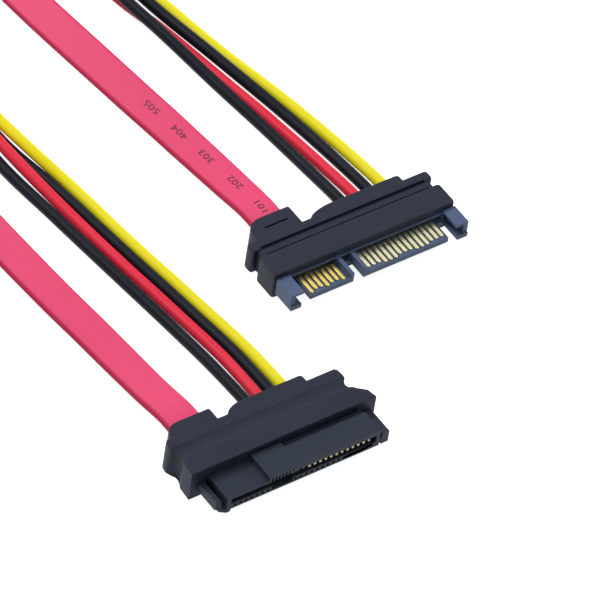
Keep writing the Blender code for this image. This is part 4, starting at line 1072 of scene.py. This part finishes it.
@dataclass
class Studio:
    """White floor and background, soft light from behind and from the right, and the photo's camera."""

    camera_place: tuple[float, float, float] = (-628.75, -707.355, 990.09)
    yaw: float = 41.42
    elevation: float = 45.94
    roll: float = 9.70
    focal_share: float = 11.6762
    sensor: float = 36.0
    nearest: float = 50.0
    farthest: float = 20000.0
    floor_half: float = 3000.0
    floor_paper: str = "#F0F0F0"
    floor_dimmed: str = "#8A8A8A"
    floor_glow: float = 0.85
    world_tint: str = "#F4F6FA"
    world_level: float = 0.45
    lamps: tuple[Lamp, ...] = (
        Lamp("back_softbox", (-250.0, 600.0, 740.0), 400.0, 5.0),
        Lamp("right_softbox", (900.0, 100.0, 250.0), 400.0, 3.0),
    )

    def camera(self) -> None:
        """Place the camera that was fitted to the photograph.

        Its axes come from a view direction with a yaw from +Y towards +X and an elevation above
        the floor, then turned about that direction by the roll.
        """
        yaw, high, roll = (math.radians(a) for a in (self.yaw, self.elevation, self.roll))
        level = Vector((math.cos(yaw), -math.sin(yaw), 0.0))
        ahead = Vector((math.sin(yaw), math.cos(yaw), 0.0))
        view = ahead * math.cos(high) - Vector((0, 0, math.sin(high)))
        down = -(ahead * math.sin(high) + Vector((0, 0, math.cos(high))))
        right = level * math.cos(roll) - down * math.sin(roll)
        low = level * math.sin(roll) + down * math.cos(roll)
        data = bpy.data.cameras.new("photo_camera")
        data.sensor_width = self.sensor
        data.sensor_fit = "HORIZONTAL"
        data.lens = self.focal_share * self.sensor
        data.clip_start = self.nearest * MM
        data.clip_end = self.farthest * MM
        camera = bpy.data.objects.new("photo_camera", data)
        turn = Matrix((right, -low, -view)).transposed()
        camera.matrix_world = Matrix.Translation(Vector(self.camera_place) * MM) @ turn.to_4x4()
        bpy.context.scene.collection.objects.link(camera)
        bpy.context.scene.camera = camera

    def light(self) -> None:
        """Set the soft lamps and the world, which the camera and mirror rays see as plain white."""
        for lamp in self.lamps:
            lamp.build()
        world = bpy.data.worlds.new("studio")
        bpy.context.scene.world = world
        world.use_nodes = True
        tree = world.node_tree
        tree.nodes.clear()
        lit = add_node(tree, "ShaderNodeBackground",
                       {"Color": linear(self.world_tint), "Strength": self.world_level})
        seen = add_node(tree, "ShaderNodeBackground", {"Color": (1, 1, 1, 1), "Strength": 1.0})
        mix = add_node(tree, "ShaderNodeMixShader", None,
                       {0: seen_plainly(tree), 1: lit.outputs[0], 2: seen.outputs[0]})
        add_node(tree, "ShaderNodeOutputWorld", None, {"Surface": mix.outputs[0]})

    def floor(self) -> None:
        """Lay the floor.

        The camera and mirror faces see it near white, with the object's soft shadow on it. Other
        rays see it greyer, so that less light bounces up to the object.
        """
        half = self.floor_half * MM
        mesh = bpy.data.meshes.new("studio_floor")
        corners = [(-half, -half, 0), (half, -half, 0), (half, half, 0), (-half, half, 0)]
        mesh.from_pydata(corners, [], [(0, 1, 2, 3)])
        floor = bpy.data.objects.new("studio_floor", mesh)
        bpy.context.scene.collection.objects.link(floor)
        material = bpy.data.materials.new("white_paper_sweep")
        material.use_nodes = True
        tree = material.node_tree
        tree.nodes.clear()
        paper = add_node(tree, "ShaderNodeBsdfDiffuse", {"Color": linear(self.floor_paper)})
        dimmed = add_node(tree, "ShaderNodeBsdfDiffuse", {"Color": linear(self.floor_dimmed)})
        glow = add_node(tree, "ShaderNodeEmission", {"Color": (1, 1, 1, 1), "Strength": self.floor_glow})
        bright = add_node(tree, "ShaderNodeAddShader", None, {0: paper.outputs[0], 1: glow.outputs[0]})
        mix = add_node(tree, "ShaderNodeMixShader", None,
                       {0: seen_plainly(tree), 1: dimmed.outputs[0], 2: bright.outputs[0]})
        add_node(tree, "ShaderNodeOutputMaterial", None, {"Surface": mix.outputs[0]})
        mesh.materials.append(material)

    def build(self) -> None:
        """Set up the camera, the light and the floor."""
        self.camera()
        self.light()
        self.floor()
        bpy.context.scene.view_settings.view_transform = "Standard"


def main() -> None:
    """Build the studio, the cords and both connectors."""
    logging.basicConfig(level=logging.INFO, format="%(message)s")
    Studio().build()
    book = FinishBook()
    places = Places()
    data_cable = DataCable(places, book)
    jacket = data_cable.build()
    PowerWires(places, book).build()
    legend = Legend(data_cable.line(), book).build()
    legend.parent = jacket
    Plug(book).build()
    Receptacle(book).build()


if __name__ == "__main__":
    main()
